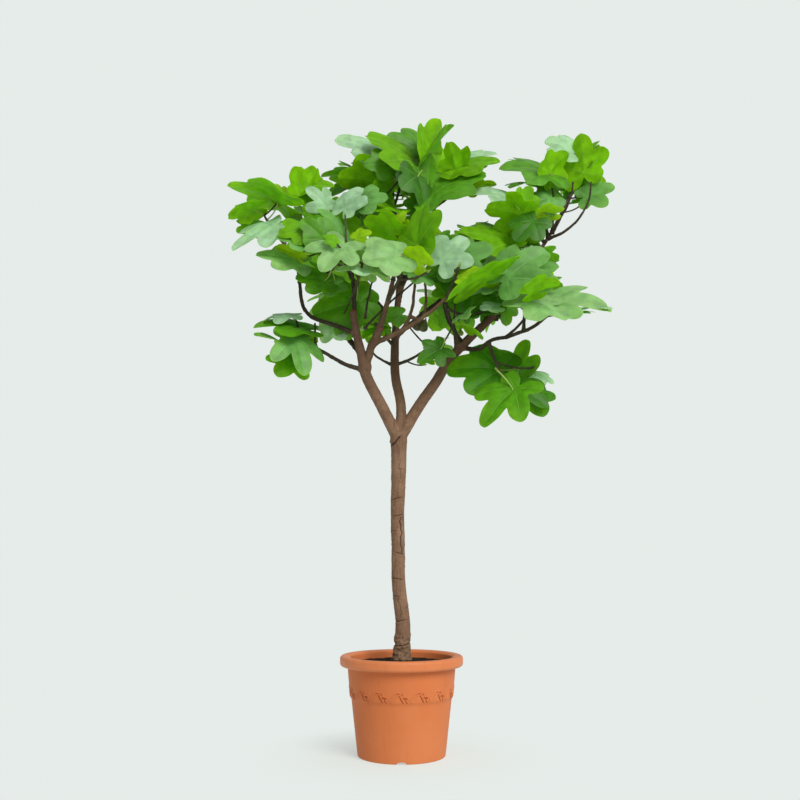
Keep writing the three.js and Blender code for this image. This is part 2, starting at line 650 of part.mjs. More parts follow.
/** Grows a mass's leaves, the youngest first, each inside the mass's space and clear of everything so far. */
function growLeaves(name, index) {
  const { tip, space, leaves: most, blade } = MASSES[name];
  const random = seeded(9000 + 17 * index);
  const leaves = [];
  for (const slot of slotsOf(name).reverse()) {
    for (let attempt = 0; attempt < LEAF_TRIES && leaves.length < most; attempt++) {
      const leaf = leafAt(slot, blade * (1 - LEAF_SHRINK * attempt), random, attempt);
      const parts = leafParts(leaf, name);
      if (!leaf.outline.every((p) => isInside(p, tip, space)) || !isClear(parts, rods, placed)) continue;
      placed.push(parts);
      leaves.push(leaf);
      break;
    }
  }
  return leaves;
}

// ---------------------------------------------------------------- assembly
const plant = new THREE.Group();
plant.add(meshOf("pot", potSolid(), TERRACOTTA), meshOf("soil", soilSolid(), POTTING_MIX));

const boughNames = Object.keys(BOUGHS);
const forkBall = (radius) => solidOf(new THREE.SphereGeometry(radius, 24, 12).translate(...FORK));
const rodsOf = (ownNames, sides, margin) => {
  return wasm.Manifold.union(ownNames.map((name) => rodSolid(wood[name], sides, margin)));
};

// Each piece is cut back by the ones before it, swollen by the clearance.
const stubs = rodsOf(boughNames, BOUGH_SIDES, 0).intersect(forkBall(FORK_RADIUS));
plant.add(meshOf("trunk", rodSolid(wood.trunk, TRUNK_SIDES).add(stubs), BARK));
let swollen = rodSolid(wood.trunk, TRUNK_SIDES, CLEARANCE).add(forkBall(FORK_RADIUS + CLEARANCE));
for (const name of boughNames) {
  plant.add(meshOf(name, largest(rodSolid(wood[name], BOUGH_SIDES).subtract(swollen)), BARK));
}
swollen = swollen.add(rodsOf(boughNames, BOUGH_SIDES, CLEARANCE));
for (const name of Object.keys(LIMBS)) {
  plant.add(meshOf(name, largest(rodSolid(wood[name], LIMB_SIDES).subtract(swollen)), BARK));
  swollen = swollen.add(rodSolid(wood[name], LIMB_SIDES, CLEARANCE));
}
names.forEach((name, index) => {
  growTwigs(name, index);
  const leaves = growLeaves(name, index);
  const stems = shoots[name].map((shoot) => rodSolid(shoot, STEM_SIDES));
  const whole = wasm.Manifold.union([...stems, ...leaves.map(leafSolid)]);
  plant.add(meshOf("leaf_mass_" + name, largest(whole.subtract(swollen)), FOLIAGE));
  swollen = swollen.add(
    wasm.Manifold.union(shoots[name].map((shoot) => rodSolid(shoot, STEM_SIDES, CLEARANCE))),
  );
});

export default plant;
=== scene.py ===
"""A fig tree on a single stem in a moulded pot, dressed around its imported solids.

The pot, the compost, the wood and the foliage are each a class that builds its own meshes in millimetres, in the
frame of the solids. The crown follows the same rule of growth as the solids and goes on to finer twigs.
"""

from __future__ import annotations

import logging
import math
from dataclasses import dataclass, field
from enum import Enum
from typing import Any, Callable, Iterable, Sequence

import bpy
import numpy as np
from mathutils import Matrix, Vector, noise


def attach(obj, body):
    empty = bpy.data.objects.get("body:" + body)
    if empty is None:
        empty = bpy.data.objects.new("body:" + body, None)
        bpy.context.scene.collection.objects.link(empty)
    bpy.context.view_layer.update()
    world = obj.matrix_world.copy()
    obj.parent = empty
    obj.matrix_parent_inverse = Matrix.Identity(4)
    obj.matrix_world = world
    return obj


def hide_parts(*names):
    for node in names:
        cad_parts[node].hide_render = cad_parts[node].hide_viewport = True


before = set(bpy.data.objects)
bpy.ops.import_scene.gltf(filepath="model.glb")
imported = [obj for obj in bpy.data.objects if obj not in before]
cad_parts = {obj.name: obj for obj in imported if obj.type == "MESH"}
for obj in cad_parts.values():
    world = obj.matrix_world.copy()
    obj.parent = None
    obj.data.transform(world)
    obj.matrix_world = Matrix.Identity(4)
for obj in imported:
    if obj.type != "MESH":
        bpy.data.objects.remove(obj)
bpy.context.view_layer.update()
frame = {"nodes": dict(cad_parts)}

BODY = "root"
METRE = 0.001  # of a millimetre
Array = np.ndarray
log = logging.getLogger("fig")


# ---------------------------------------------------------------- colours and materials
def linear(red: int, green: int, blue: int) -> tuple[float, float, float, float]:
    """Turns a display colour from 0 to 255 into the linear colour that shaders use."""
    return tuple(
        (c / 255 / 12.92) if c <= 10 else ((c / 255 + 0.055) / 1.055) ** 2.4 for c in (red, green, blue)
    ) + (1.0,)


class Wire:
    """A socket's output, or a number, with the sums that add Math nodes."""

    def __init__(self, bench: Bench, socket: bpy.types.NodeSocket) -> None:
        """Wraps a socket of a tree that the bench builds."""
        self.bench = bench
        self.socket = socket

    def _sum(self, operation: str, first: Any, second: Any) -> Wire:
        """Adds one Math node."""
        return self.bench.add("Math", {"operation": operation}, {0: first, 1: second})

    def __add__(self, other: Any) -> Wire:
        """Adds."""
        return self._sum("ADD", self, other)

    def __sub__(self, other: Any) -> Wire:
        """Takes away."""
        return self._sum("SUBTRACT", self, other)

    def __rsub__(self, other: Any) -> Wire:
        """Takes away from a number."""
        return self._sum("SUBTRACT", other, self)

    def __mul__(self, other: Any) -> Wire:
        """Multiplies."""
        return self._sum("MULTIPLY", self, other)

    __radd__ = __add__
    __rmul__ = __mul__


class Bench:
    """Builds a node tree, one node a call."""

    def __init__(self, tree: bpy.types.NodeTree, prefix: str = "ShaderNode") -> None:
        """Starts on a tree, whose nodes have a common prefix."""
        self.tree = tree
        self.prefix = prefix

    def node(
        self, kind: str, settings: dict[str, Any] | None = None, sockets: dict[Any, Any] | None = None,
    ) -> bpy.types.Node:
        """Adds a node.

        Args:
            kind: the node's type, without the tree's prefix.
            settings: the node's own properties, set first; "stops" gives a ramp's places and colours.
            sockets: values or wires for its inputs, by name or number.

        Returns:
            The node.
        """
        full = kind if kind.startswith(
            ("ShaderNode", "GeometryNode", "FunctionNode", "NodeGroup")
        ) else self.prefix + kind
        made = self.tree.nodes.new(full)
        for name, value in (settings or {}).items():
            if name == "stops":
                ramp = made.color_ramp.elements
                for place, colour in value[2:]:
                    ramp.new(place)
                for element, (place, colour) in zip(ramp, value):
                    element.position, element.color = place, colour
            else:
                setattr(made, name, value)
        for name, value in (sockets or {}).items():
            if isinstance(value, Wire):
                self.tree.links.new(value.socket, made.inputs[name])
            else:
                made.inputs[name].default_value = value
        return made

    def add(
        self, kind: str, settings: dict[str, Any] | None = None, sockets: dict[Any, Any] | None = None,
        out: Any = 0,
    ) -> Wire:
        """Adds a node and returns one of its outputs."""
        return Wire(self, self.node(kind, settings, sockets).outputs[out])

    def mix(self, share: Any, first: Any, second: Any) -> Wire:
        """Mixes two colours by a share."""
        mixer = self.node("Mix", {"data_type": "RGBA"})
        for place, value in ((0, share), (6, first), (7, second)):
            if isinstance(value, Wire):
                self.tree.links.new(value.socket, mixer.inputs[place])
            else:
                mixer.inputs[place].default_value = value
        return Wire(self, mixer.outputs[2])

    def step(self, value: Wire, low: float, high: float) -> Wire:
        """Rises smoothly from 0 to 1 as a value goes from low to high."""
        settings = {"interpolation_type": "SMOOTHSTEP"}
        return self.add("MapRange", settings, {"Value": value, "From Min": low, "From Max": high})


def finished(
    name: str, paint: Callable[[Bench, Wire], dict[str, Any]], **constants: Any,
) -> bpy.types.Material:
    """Makes a material with one Principled shader.

    Args:
        name: the material's name.
        paint: gives the values or wires of the sockets that vary, from a bench and the object's coordinates.
        constants: values of the shader's sockets that are the same all over, by name with underscores.

    Returns:
        The material.
    """
    material = bpy.data.materials.new(name)
    material.use_nodes = True
    tree = material.node_tree
    tree.nodes.clear()
    bench = Bench(tree)
    place = bench.add("TexCoord", out="Object")
    sockets = {key.replace("_", " "): value for key, value in constants.items()}
    sockets.update(paint(bench, place))
    shader = bench.add("BsdfPrincipled", None, sockets)
    bench.node("OutputMaterial", None, {"Surface": shader})
    return material


class Green(Enum):
    """The leaves' greens, each as its upper side and its underside. They are lit and shaded copies of one green
    that paint shade, a sheen of the sky and light passing through the blade, and every underside is brighter as
    painted light through the blade.
    """

    # Painted shade: the darker green of leaves that lie in the crown's shade.
    DEEP = ((50, 102, 8), (76, 134, 8))
    MID = ((74, 132, 14), (104, 168, 12))
    # Painted sheen in shade: a greyish green for shaded leaves that catch a little sky.
    SAGE = ((94, 147, 68), (110, 170, 48))
    # Painted sheen: the grey-green of the sky reflected on the blade.
    GREY = ((146, 188, 142), (140, 186, 100))
    # Painted sheen, paler: the sky reflected on a lit blade.
    PALE = ((122, 167, 98), (142, 187, 104))
    # Painted light: the bright green of light shining through the blade.
    BRIGHT = ((92, 148, 6), (114, 178, 8))
    # The lighter green of young leaves, made brighter still as painted light shining through the blade.
    YOUNG = ((128, 176, 12), (150, 202, 14))


@dataclass(frozen=True)
class LeafFinish:
    """Satin leaf skin of one plain green, with fine veinlets in relief."""

    name: str
    colour: tuple[int, int, int]
    roughness: float = 0.42
    gloss: float = 0.3

    def material(self) -> bpy.types.Material:
        """Makes the material."""

        def paint(bench: Bench, place: Wire) -> dict[str, Any]:
            """Mottles the green a little and raises a net of veinlets."""
            mottle = bench.add("TexNoise", None, {"Vector": place, "Scale": 34.0, "Detail": 4.0})
            net = bench.add("TexVoronoi", {"feature": "DISTANCE_TO_EDGE"}, {"Vector": place, "Scale": 170.0})
            base = linear(*self.colour)
            dark = tuple(c * 0.8 for c in base[:3]) + (1.0,)
            light = tuple(min(1.0, c * 1.2) for c in base[:3]) + (1.0,)
            bump = bench.add("Bump", None, {"Height": net, "Strength": 0.16, "Distance": 0.001})
            return {
                "Base Color": bench.mix(bench.step(mottle, 0.3, 0.7), dark, light),
                "Roughness": bench.add(
                    "MapRange", None,
                    {"Value": mottle, "To Min": self.roughness - 0.06, "To Max": self.roughness + 0.08},
                ),
                "Normal": bump,
            }

        return finished(
            self.name, paint, Specular_IOR_Level=self.gloss,
            Subsurface_Weight=0.4, Subsurface_Radius=(0.6, 1.0, 0.12), Subsurface_Scale=0.008,
        )


@dataclass(frozen=True)
class SoftFinish:
    """A soft green part of a shoot: a leaf's ribs and stalks, or a bud."""

    name: str
    colour: tuple[int, int, int]
    tint: tuple[int, int, int]
    roughness: float = 0.5

    def material(self) -> bpy.types.Material:
        """Makes the material."""

        def paint(bench: Bench, place: Wire) -> dict[str, Any]:
            """Lets one colour drift into the other."""
            drift = bench.add("TexNoise", None, {"Vector": place, "Scale": 40.0, "Detail": 2.0})
            fine = bench.add("TexNoise", None, {"Vector": place, "Scale": 900.0})
            return {
                "Base Color": bench.mix(
                    bench.step(drift, 0.35, 0.65), linear(*self.colour), linear(*self.tint),
                ),
                "Normal": bench.add("Bump", None, {"Height": fine, "Strength": 0.12, "Distance": 0.0004}),
            }

        return finished(self.name, paint, Roughness=self.roughness)


@dataclass(frozen=True)
class BarkFinish:
    """Bark: a ground colour with darker streaks, pale dots and, low on the stem, a mossy tinge. Where asked, it
    also darkens higher up as painted shade under the crown, and in grooves, clefts and folds as painted shade in
    creases.
    """

    name: str
    ground: tuple[int, int, int]
    light: tuple[int, int, int]
    dark: tuple[int, int, int]
    moss: tuple[int, int, int] = (100, 86, 58)
    moss_height: float = 0.0  # in metres, where the tinge ends
    relief: float = 0.5
    crease_shaded: bool = False  # whether the piece has an attribute of painted shade in its grooves, clefts and folds, from 0 to 1

    def material(self) -> bpy.types.Material:
        """Makes the material."""

        def paint(bench: Bench, place: Wire) -> dict[str, Any]:
            """Streaks along the wood, blotches, dots and fine cracks."""
            tall = bench.add("Mapping", None, {"Vector": place, "Scale": (230.0, 230.0, 17.0)})
            wide = bench.add("Mapping", None, {"Vector": place, "Scale": (62.0, 62.0, 480.0)})
            streak = bench.add(
                "TexNoise", None, {"Vector": tall, "Scale": 1.0, "Detail": 5.0, "Roughness": 0.65},
            )
            dash = bench.add(
                "TexNoise", None, {"Vector": wide, "Scale": 1.0, "Detail": 2.0, "Roughness": 0.5},
            )
            blotch = bench.add(
                "TexNoise", None, {"Vector": place, "Scale": 19.0, "Detail": 5.0, "Roughness": 0.6},
            )
            dots = bench.add("TexVoronoi", None, {"Vector": place, "Scale": 210.0})
            colour = bench.mix(bench.step(blotch, 0.4, 0.66) * 0.7, linear(*self.ground), linear(*self.light))
            colour = bench.mix(bench.step(streak, 0.5, 0.68) * 0.6, colour, linear(*self.dark))
            colour = bench.mix(bench.step(dash, 0.64, 0.72) * 0.9, colour, linear(*self.dark))
            colour = bench.mix(bench.step(dots, 0.16, 0.06) * 0.4, colour, linear(*self.light))
            height = bench.add("SeparateXYZ", None, {"Vector": place}, out="Z")
            if self.moss_height:
                low = bench.step(height + blotch * 0.12, self.moss_height + 0.11, self.moss_height)
                colour = bench.mix(low * 0.55, colour, linear(*self.moss))
                # Painted shade: from about 1.02 m up, the wood darkens where the boughs lie in the crown's shade.
                high = bench.step(height + blotch * 0.1, 1.02, 1.22)
                colour = bench.mix(high * 0.6, colour, linear(*self.dark))
            # Painted shade in creases: ring grooves, clefts and the fork's fold go darker by the attribute.
            if self.crease_shaded:
                scar = bench.add("Attribute", {"attribute_name": "scar"}, out="Fac")
                colour = bench.mix(
                    bench.step(scar + blotch * 0.5, 0.42, 0.85) * 0.8, colour,
                    linear(*(c // 2 for c in self.dark)),
                )
            bump = bench.add(
                "Bump", None, {"Height": streak - dash * 0.7, "Strength": self.relief, "Distance": 0.0014},
            )
            return {
                "Base Color": colour,
                "Roughness": bench.add("MapRange", None, {"Value": blotch, "To Min": 0.74, "To Max": 0.92}),
                "Normal": bump,
            }

        return finished(self.name, paint, Specular_IOR_Level=0.3)


@dataclass(frozen=True)
class MouldedFinish:
    """Matte moulded plastic in a clay colour, with a faint bloom, mould grain and dust."""

    name: str
    colour: tuple[int, int, int]
    bloom: tuple[int, int, int]
    shade: tuple[int, int, int]
    roughness: float = 0.5
    gloss: float = 0.12

    def material(self) -> bpy.types.Material:
        """Makes the material."""

        def paint(bench: Bench, place: Wire) -> dict[str, Any]:
            """Clouds the clay colour, dusts it, and gives it a fine grain."""
            cloud = bench.add(
                "TexNoise", None, {"Vector": place, "Scale": 5.5, "Detail": 4.0, "Roughness": 0.55},
            )
            fleck = bench.add("TexNoise", None, {"Vector": place, "Scale": 420.0, "Detail": 2.0})
            grain = bench.add("TexNoise", None, {"Vector": place, "Scale": 1100.0, "Detail": 2.0})
            drawn = bench.add("Mapping", None, {"Vector": place, "Scale": (60.0, 60.0, 5.0)})
            wipe = bench.add("TexNoise", None, {"Vector": drawn, "Scale": 1.0, "Detail": 3.0})
            colour = bench.mix(
                bench.step(cloud, 0.35, 0.68) * 0.55, linear(*self.colour), linear(*self.bloom),
            )
            colour = bench.mix(bench.step(wipe, 0.55, 0.8) * 0.25, colour, linear(*self.shade))
            colour = bench.mix(bench.step(fleck, 0.6, 0.75) * 0.14, colour, linear(*self.shade))
            worn = bench.add(
                "MapRange", None,
                {"Value": cloud, "To Min": self.roughness - 0.08, "To Max": self.roughness + 0.1},
            )
            return {
                "Base Color": colour,
                "Roughness": worn + fleck * 0.06,
                "Normal": bench.add(
                    "Bump", None, {"Height": grain + wipe * 0.4, "Strength": 0.16, "Distance": 0.0004},
                ),
            }

        return finished(self.name, paint, Specular_IOR_Level=self.gloss)


@dataclass(frozen=True)
class CompostFinish:
    """Moist compost: dark, with lighter fibres."""

    name: str
    dark: tuple[int, int, int]
    light: tuple[int, int, int]

    def material(self) -> bpy.types.Material:
        """Makes the material."""

        def paint(bench: Bench, place: Wire) -> dict[str, Any]:
            """Breaks the ground into crumbs of several tones."""
            crumb = bench.add("TexVoronoi", None, {"Vector": place, "Scale": 260.0}, out="Color")
            tone = bench.add("SeparateColor", None, {"Color": crumb}, out=0)
            clod = bench.add(
                "TexNoise", None, {"Vector": place, "Scale": 240.0, "Detail": 5.0, "Roughness": 0.7},
            )
            return {
                "Base Color": bench.mix(
                    bench.step(tone + clod * 0.5, 0.75, 1.25), linear(*self.dark), linear(*self.light),
                ),
                "Roughness": bench.add("MapRange", None, {"Value": clod, "To Min": 0.8, "To Max": 1.0}),
                "Normal": bench.add("Bump", None, {"Height": clod, "Strength": 0.9, "Distance": 0.003}),
            }

        return finished(self.name, paint, Specular_IOR_Level=0.25)


# ---------------------------------------------------------------- meshes
@dataclass
class Sheaf:
    """Gathers points and faces, in millimetres, to be joined into one mesh."""

    points: list[Array] = field(default_factory=list)
    faces: list[tuple[Array, Array]] = field(default_factory=list)
    rims: list[Array] = field(default_factory=list)
    count: int = 0

    def add(
        self, points: Array, faces: Sequence[tuple[Array, int | Array]], rim: Array | None = None,
    ) -> None:
        """Adds a part.

        Args:
            points: its points.
            faces: pairs of faces (rows of three or four numbers of points) and their slot, or a slot for each face.
            rim: which points lie on a sharp rim.
        """
        for rows, slots in faces:
            if len(rows):
                self.faces.append((rows + self.count, np.broadcast_to(np.asarray(slots), (len(rows),))))
        self.points.append(points)
        self.rims.append(np.zeros(len(points), bool) if rim is None else rim)
        self.count += len(points)

    def build(self, name: str, materials: Sequence[bpy.types.Material], slot: str) -> bpy.types.Object:
        """Joins what was gathered into one smooth-shaded piece that rides on the plant's body."""
        points = np.concatenate(self.points) * METRE
        totals = np.concatenate([np.full(len(rows), rows.shape[1]) for rows, _ in self.faces])
        corners = np.concatenate([rows.ravel() for rows, _ in self.faces])
        slots = np.concatenate([slots for _, slots in self.faces])
        mesh = bpy.data.meshes.new(name)
        mesh.vertices.add(len(points))
        mesh.vertices.foreach_set("co", points.astype(np.float32).ravel())
        mesh.loops.add(len(corners))
        mesh.loops.foreach_set("vertex_index", corners.astype(np.int32))
        mesh.polygons.add(len(totals))
        mesh.polygons.foreach_set("loop_start", (np.cumsum(totals) - totals).astype(np.int32))
        mesh.polygons.foreach_set("loop_total", totals.astype(np.int32))
        mesh.polygons.foreach_set("material_index", slots.astype(np.int32))
        mesh.update(calc_edges=True)
        mesh.validate()
        mesh.shade_smooth()
        rim = np.concatenate(self.rims)
        if rim.any():
            ends = np.zeros(len(mesh.edges) * 2, np.int32)
            mesh.edges.foreach_get("vertices", ends)
            sharp = rim[ends.reshape(-1, 2)].all(axis=1)
            mesh.attributes.new("sharp_edge", "BOOLEAN", "EDGE").data.foreach_set("value", sharp)
        for material in materials:
            mesh.materials.append(material)
        return placed_piece(name, mesh)


def placed_piece(name: str, mesh: bpy.types.Mesh) -> bpy.types.Object:
    """Puts a mesh in the scene as a piece on the plant's body."""
    piece = bpy.data.objects.new(name, mesh)
    bpy.context.scene.collection.objects.link(piece)
    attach(piece, BODY)
    log.info("%s: %d faces", name, len(mesh.polygons))
    return piece


def evaluated(piece: bpy.types.Object, name: str) -> bpy.types.Mesh:
    """Turns an object with live modifiers into a plain mesh, and removes the object."""
    graph = bpy.context.evaluated_depsgraph_get()
    mesh = bpy.data.meshes.new_from_object(piece.evaluated_get(graph))
    mesh.name = name
    bpy.data.objects.remove(piece)
    return mesh


def loose(mesh: bpy.types.Mesh) -> bpy.types.Object:
    """Puts a mesh in the scene as an object to be worked on."""
    piece = bpy.data.objects.new(mesh.name, mesh)
    bpy.context.scene.collection.objects.link(piece)
    return piece


def unit(vector: Array) -> Array:
    """Gives a vector, or each row of an array, a length of one."""
    return vector / np.maximum(np.linalg.norm(vector, axis=-1, keepdims=True), 1e-12)


def turned(vector: Array, axis: Array, degrees: float) -> Array:
    """Turns a vector about an axis of length one."""
    c, s = math.cos(math.radians(degrees)), math.sin(math.radians(degrees))
    return vector * c + np.cross(axis, vector) * s + axis * (np.dot(axis, vector) * (1 - c))


def frames(path: Array, first_side: Array | None = None) -> tuple[Array, Array, Array]:
    """Gives each point of a path its direction and two sides that don't twist."""
    ways = unit(np.gradient(path, axis=0))
    side = first_side if first_side is not None else np.cross([0.0, 1.0, 0.0], ways[0])
    if np.linalg.norm(side) < 1e-6:
        side = np.array([1.0, 0.0, 0.0])
    sides = np.empty_like(path)
    for i, way in enumerate(ways):
        side = unit(side - way * np.dot(side, way))
        sides[i] = side
    return ways, sides, np.cross(ways, sides)


def rod(
    path: Array, wide: Array, high: Array | None = None, sides: int = 8, first_side: Array | None = None,
) -> tuple[Array, list[tuple[Array, int]]]:
    """Makes a closed rod along a path.

    Args:
        path: its middle line.
        wide: its radius along the first side at each point.
        high: its radius along the other side, if that differs.
        sides: how many faces go round it.
        first_side: the direction of the first side at the start.

    Returns:
        Its points and its faces.
    """
    high = wide if high is None else high
    _, one, other = frames(path, first_side)
    angles = np.arange(sides) * 2 * math.pi / sides
    ring_across = np.outer(wide, np.cos(angles))[..., None]
    ring_up = np.outer(high, np.sin(angles))[..., None]
    ring = one[:, None] * ring_across + other[:, None] * ring_up
    points = (path[:, None] + ring).reshape(-1, 3)
    last = len(path) - 1
    a = (np.arange(last)[:, None] * sides + np.arange(sides)).ravel()
    b = (np.arange(last)[:, None] * sides + (np.arange(sides) + 1) % sides).ravel()
    around = np.stack([a, b, b + sides, a + sides], axis=1)
    ends = np.arange(sides)
    points = np.vstack([points, path[0], path[-1]])
    low, top = len(points) - 2, len(points) - 1
    base = np.stack([np.full(sides, low), (ends + 1) % sides, ends], axis=1)
    tip = np.stack([np.full(sides, top), last * sides + ends, last * sides + (ends + 1) % sides], axis=1)
    return points, [(around, 0), (np.vstack([base, tip]), 0)]


def ring_bands(rings: int, sides: int) -> Array:
    """Gives the faces between rings of points that follow one another."""
    j = np.arange(sides)
    following = (j + 1) % sides
    bands = []
    for k in range(rings - 1):
        low, high = k * sides, (k + 1) * sides
        bands.append(np.stack([low + j, high + j, high + following, low + following], axis=1))
    return np.vstack(bands)


def travelled(path: Array) -> Array:
    """Gives how far along a path each of its points lies."""
    return np.concatenate([[0], np.cumsum(np.linalg.norm(np.diff(path, axis=0), axis=1))])


def eased(start: float, end: float, share: Array | float) -> Array | float:
    """Goes from start to end by a share."""
    return start + (end - start) * share


@dataclass(frozen=True)
class View:
    """The front view, which also gives places in the crown by where they are seen in its frame."""

    eye: tuple[float, float, float] = (-4.5, -2800.0, 574.0)
    tilt: float = 99.41  # degrees
    lens: float = 41.64
    sensor: float = 36.0
    frame: int = 800  # pixels across and down

    def point(self, across: float, down: float, depth: float) -> Array:
        """Gives the point that is seen at a pixel, at a depth in millimetres behind the pot's axis."""
        focal = self.lens / self.sensor * self.frame
        right, up = (across - self.frame / 2) / focal, (self.frame / 2 - down) / focal
        c, s = math.cos(math.radians(self.tilt)), math.sin(math.radians(self.tilt))
        way = np.array([right, up * c + s, up * s - c])
        return np.array(self.eye) + way * (depth - self.eye[1]) / way[1]

    def pixels(self, points: Array) -> Array:
        """Gives the pixels, across and down, at which points are seen."""
        focal = self.lens / self.sensor * self.frame
        c, s = math.cos(math.radians(self.tilt)), math.sin(math.radians(self.tilt))
        x, y, z = (points - np.array(self.eye)).T
        far = y * s - z * c
        return self.frame / 2 + focal * np.stack([x, -(y * c + z * s)], axis=1) / far[:, None]


FRONT = View()


@dataclass(frozen=True)
class Window:
    """A part of the front view's frame, enlarged so that places in it can be read."""

    left: int
    top: int
    times: float  # larger than the frame

    def pixel(self, across: int, down: int) -> tuple[int, int]:
        """Gives the pixel of the frame for a place read in this window."""
        return round(self.left + across / self.times), round(self.top + down / self.times)


FRAME = Window(0, 0, 1)
CROWN = Window(200, 100, 3.647)
TOP = Window(335, 115, 9.503)
TOP_RIGHT = Window(480, 125, 12.06)
TOP_LEFT = Window(222, 165, 10.453)
MIDDLE = Window(340, 205, 9.8)
RIGHT = Window(470, 225, 11.04)
LEFT = Window(250, 270, 10.453)
HANGING = Window(400, 310, 9.8)


# ---------------------------------------------------------------- the rule of growth
FORK = (-9, 0, 915)  # where the three boughs part
STATION_STEP = 62.0

TRUNK = [
    (1, 0, 260.3, 31), (1, 0, 280, 26), (2, 0, 312, 23), (4, 0, 375, 21.5), (-3, 0, 432, 21),
    (-9, 0, 492, 20.5),
    (-10, 0, 596, 20), (-12, 0, 703, 20.5), (-9, 0, 793, 22), (-8, 0, 884, 24), (-9, 0, 936, 27),
]
BOUGHS = {
    "bough_left": [
        (*FORK, 19), (-62, -25, 1019, 17.5), (-107, -55, 1105, 16.5), (-122, -80, 1171, 14),
        (-136, -95, 1229, 12),
        (-144, -105, 1282, 10.5),
    ],
    "bough_middle": [
        (*FORK, 17), (-17, 30, 1043, 15), (-22, 55, 1127, 14.5), (-21, 80, 1213, 13.5), (-18, 105, 1301, 12),
        (-11, 130, 1391, 10), (-5, 155, 1483, 8),
    ],
    "bough_right": [
        (*FORK, 19), (59, -20, 1025, 17), (105, -35, 1088, 16), (141, -45, 1148, 15), (178, -55, 1189, 14),
        (233, -60, 1244, 12.5), (282, -60, 1288, 11),
    ],
}
LIMBS = {
    "limb_left_inner": [
        (-110, -58, 1122, 13), (-92, -88, 1180, 12), (-72, -105, 1226, 10), (-50, -125, 1282, 7.5),
        (-25, -150, 1374, 6),
    ],
    "limb_left_cross": [
        (-86, -94, 1193, 8), (-28, -120, 1212, 7.5), (22, -140, 1235, 7), (84, -165, 1272, 6),
        (133, -190, 1311, 5),
    ],
    "limb_left_far": [
        (-133, -93, 1222, 8), (-185, -95, 1244, 6.5), (-230, -95, 1260, 6), (-276, -90, 1280, 5.5),
        (-301, -85, 1322, 5.5),
        (-309, -80, 1379, 5), (-321, -70, 1468, 5),
    ],
    "limb_left_low": [
        (-112, -62, 1118, 8), (-170, -65, 1137, 6), (-216, -65, 1162, 5.5), (-253, -60, 1185, 5),
    ],
    "limb_left_upright": [(-143, -104, 1274, 7.5), (-142, -115, 1338, 6), (-148, -130, 1405, 5)],
    "limb_left_back": [
        (-118, -75, 1160, 9), (-176, 0, 1250, 7.5), (-214, 90, 1360, 6.5), (-243, 150, 1482, 5.5),
    ],
    "limb_middle_top": [(-6, 152, 1474, 7.5), (-18, 160, 1589, 7), (-28, 150, 1690, 6), (-28, 140, 1774, 5)],
    "limb_middle_right": [
        (-9, 138, 1420, 8), (35, 130, 1506, 7), (77, 110, 1588, 6.5), (103, 90, 1667, 6), (116, 80, 1732, 5.5),
    ],
    "limb_middle_back_left": [(-18, 106, 1304, 8), (-88, 190, 1408, 7), (-170, 260, 1505, 5.5)],
    "limb_middle_back_right": [(-20, 92, 1256, 8), (78, 190, 1366, 7), (184, 270, 1465, 5.5)],
    "limb_middle_back": [(-14, 120, 1356, 8), (2, 230, 1470, 7), (12, 310, 1600, 5.5)],
    "limb_right_up": [
        (276, -60, 1283, 10), (328, -45, 1367, 8), (381, -30, 1442, 7.5), (434, -15, 1512, 7.5),
        (476, 0, 1577, 6.5),
    ],
    "limb_right_low": [
        (180, -55, 1191, 8), (231, -80, 1180, 6), (271, -95, 1204, 5.5), (323, -110, 1213, 5.5),
        (390, -125, 1237, 5),
        (435, -130, 1272, 4.5),
    ],
    "limb_right_inner": [
        (176, -55, 1187, 8), (158, -92, 1240, 5.5), (142, -112, 1275, 5), (130, -135, 1325, 4.5),
    ],
    "limb_right_back": [
        (240, -60, 1250, 9), (290, 40, 1333, 7.5), (340, 140, 1445, 6.5), (372, 200, 1542, 5.5),
    ],
}


# Bare branchlets between the limbs, finer than the solids have them: places read across and down in the
# window on the crown, each with its depth and radius.
BRANCHLETS = {
    "right_fork_inner": [
        (1283, 488, -22, 5.5), (1288, 430, -30, 4.5), (1291, 372, -38, 3.6), (1284, 320, -40, 3),
    ],
    "right_fork_middle": [
        (1285, 490, -22, 5), (1318, 425, -40, 4.2), (1352, 352, -50, 3.4), (1360, 300, -50, 3),
    ],
    "right_fork_outer": [
        (1268, 508, -25, 5.5), (1330, 478, -55, 4.6), (1382, 432, -65, 4), (1420, 362, -60, 3.4),
        (1425, 300, -50, 3),
    ],
    "right_low_fork": [
        (1112, 868, -112, 5), (1165, 820, -125, 4.2), (1203, 765, -130, 3.4), (1222, 715, -130, 3),
    ],
    "right_bough_inner": [
        (958, 888, -50, 5.5), (912, 820, -75, 4.4), (890, 762, -85, 3.8), (887, 705, -85, 3.2),
    ],
    "right_bough_upright": [(935, 905, -45, 4.6), (926, 830, -70, 3.8), (930, 745, -80, 3.2)],
    "right_bough_end": [(1078, 805, -60, 5.5), (1085, 745, -75, 4.4), (1086, 690, -80, 3.4)],
    "right_bough_end_twin": [(1090, 790, -60, 5), (1103, 735, -85, 4), (1108, 680, -90, 3.2)],
    "middle_riser": [
        (728, 848, -122, 6.5), (762, 800, -125, 5.8), (776, 735, -120, 5.2), (784, 665, -110, 4.4),
        (790, 600, -100, 3.6),
    ],
    "middle_riser_fork": [
        (770, 790, -123, 5.5), (806, 797, -130, 5), (824, 735, -132, 4.4), (818, 640, -125, 3.8),
        (812, 560, -115, 3.2),
    ],
    "left_diagonal": [(598, 836, -100, 4), (648, 780, -110, 3.6), (712, 722, -112, 3.2), (775, 668, -112, 3)],
    "left_riser": [(603, 800, -108, 4), (613, 730, -120, 3.5), (626, 662, -125, 3)],
    "left_hook": [(692, 962, 40, 4.6), (662, 948, 20, 4.2), (634, 926, 0, 3.6), (618, 880, -15, 3)],
    "left_far_riser": [(424, 905, -66, 4.5), (421, 860, -75, 3.9), (418, 815, -80, 3.2)],
}
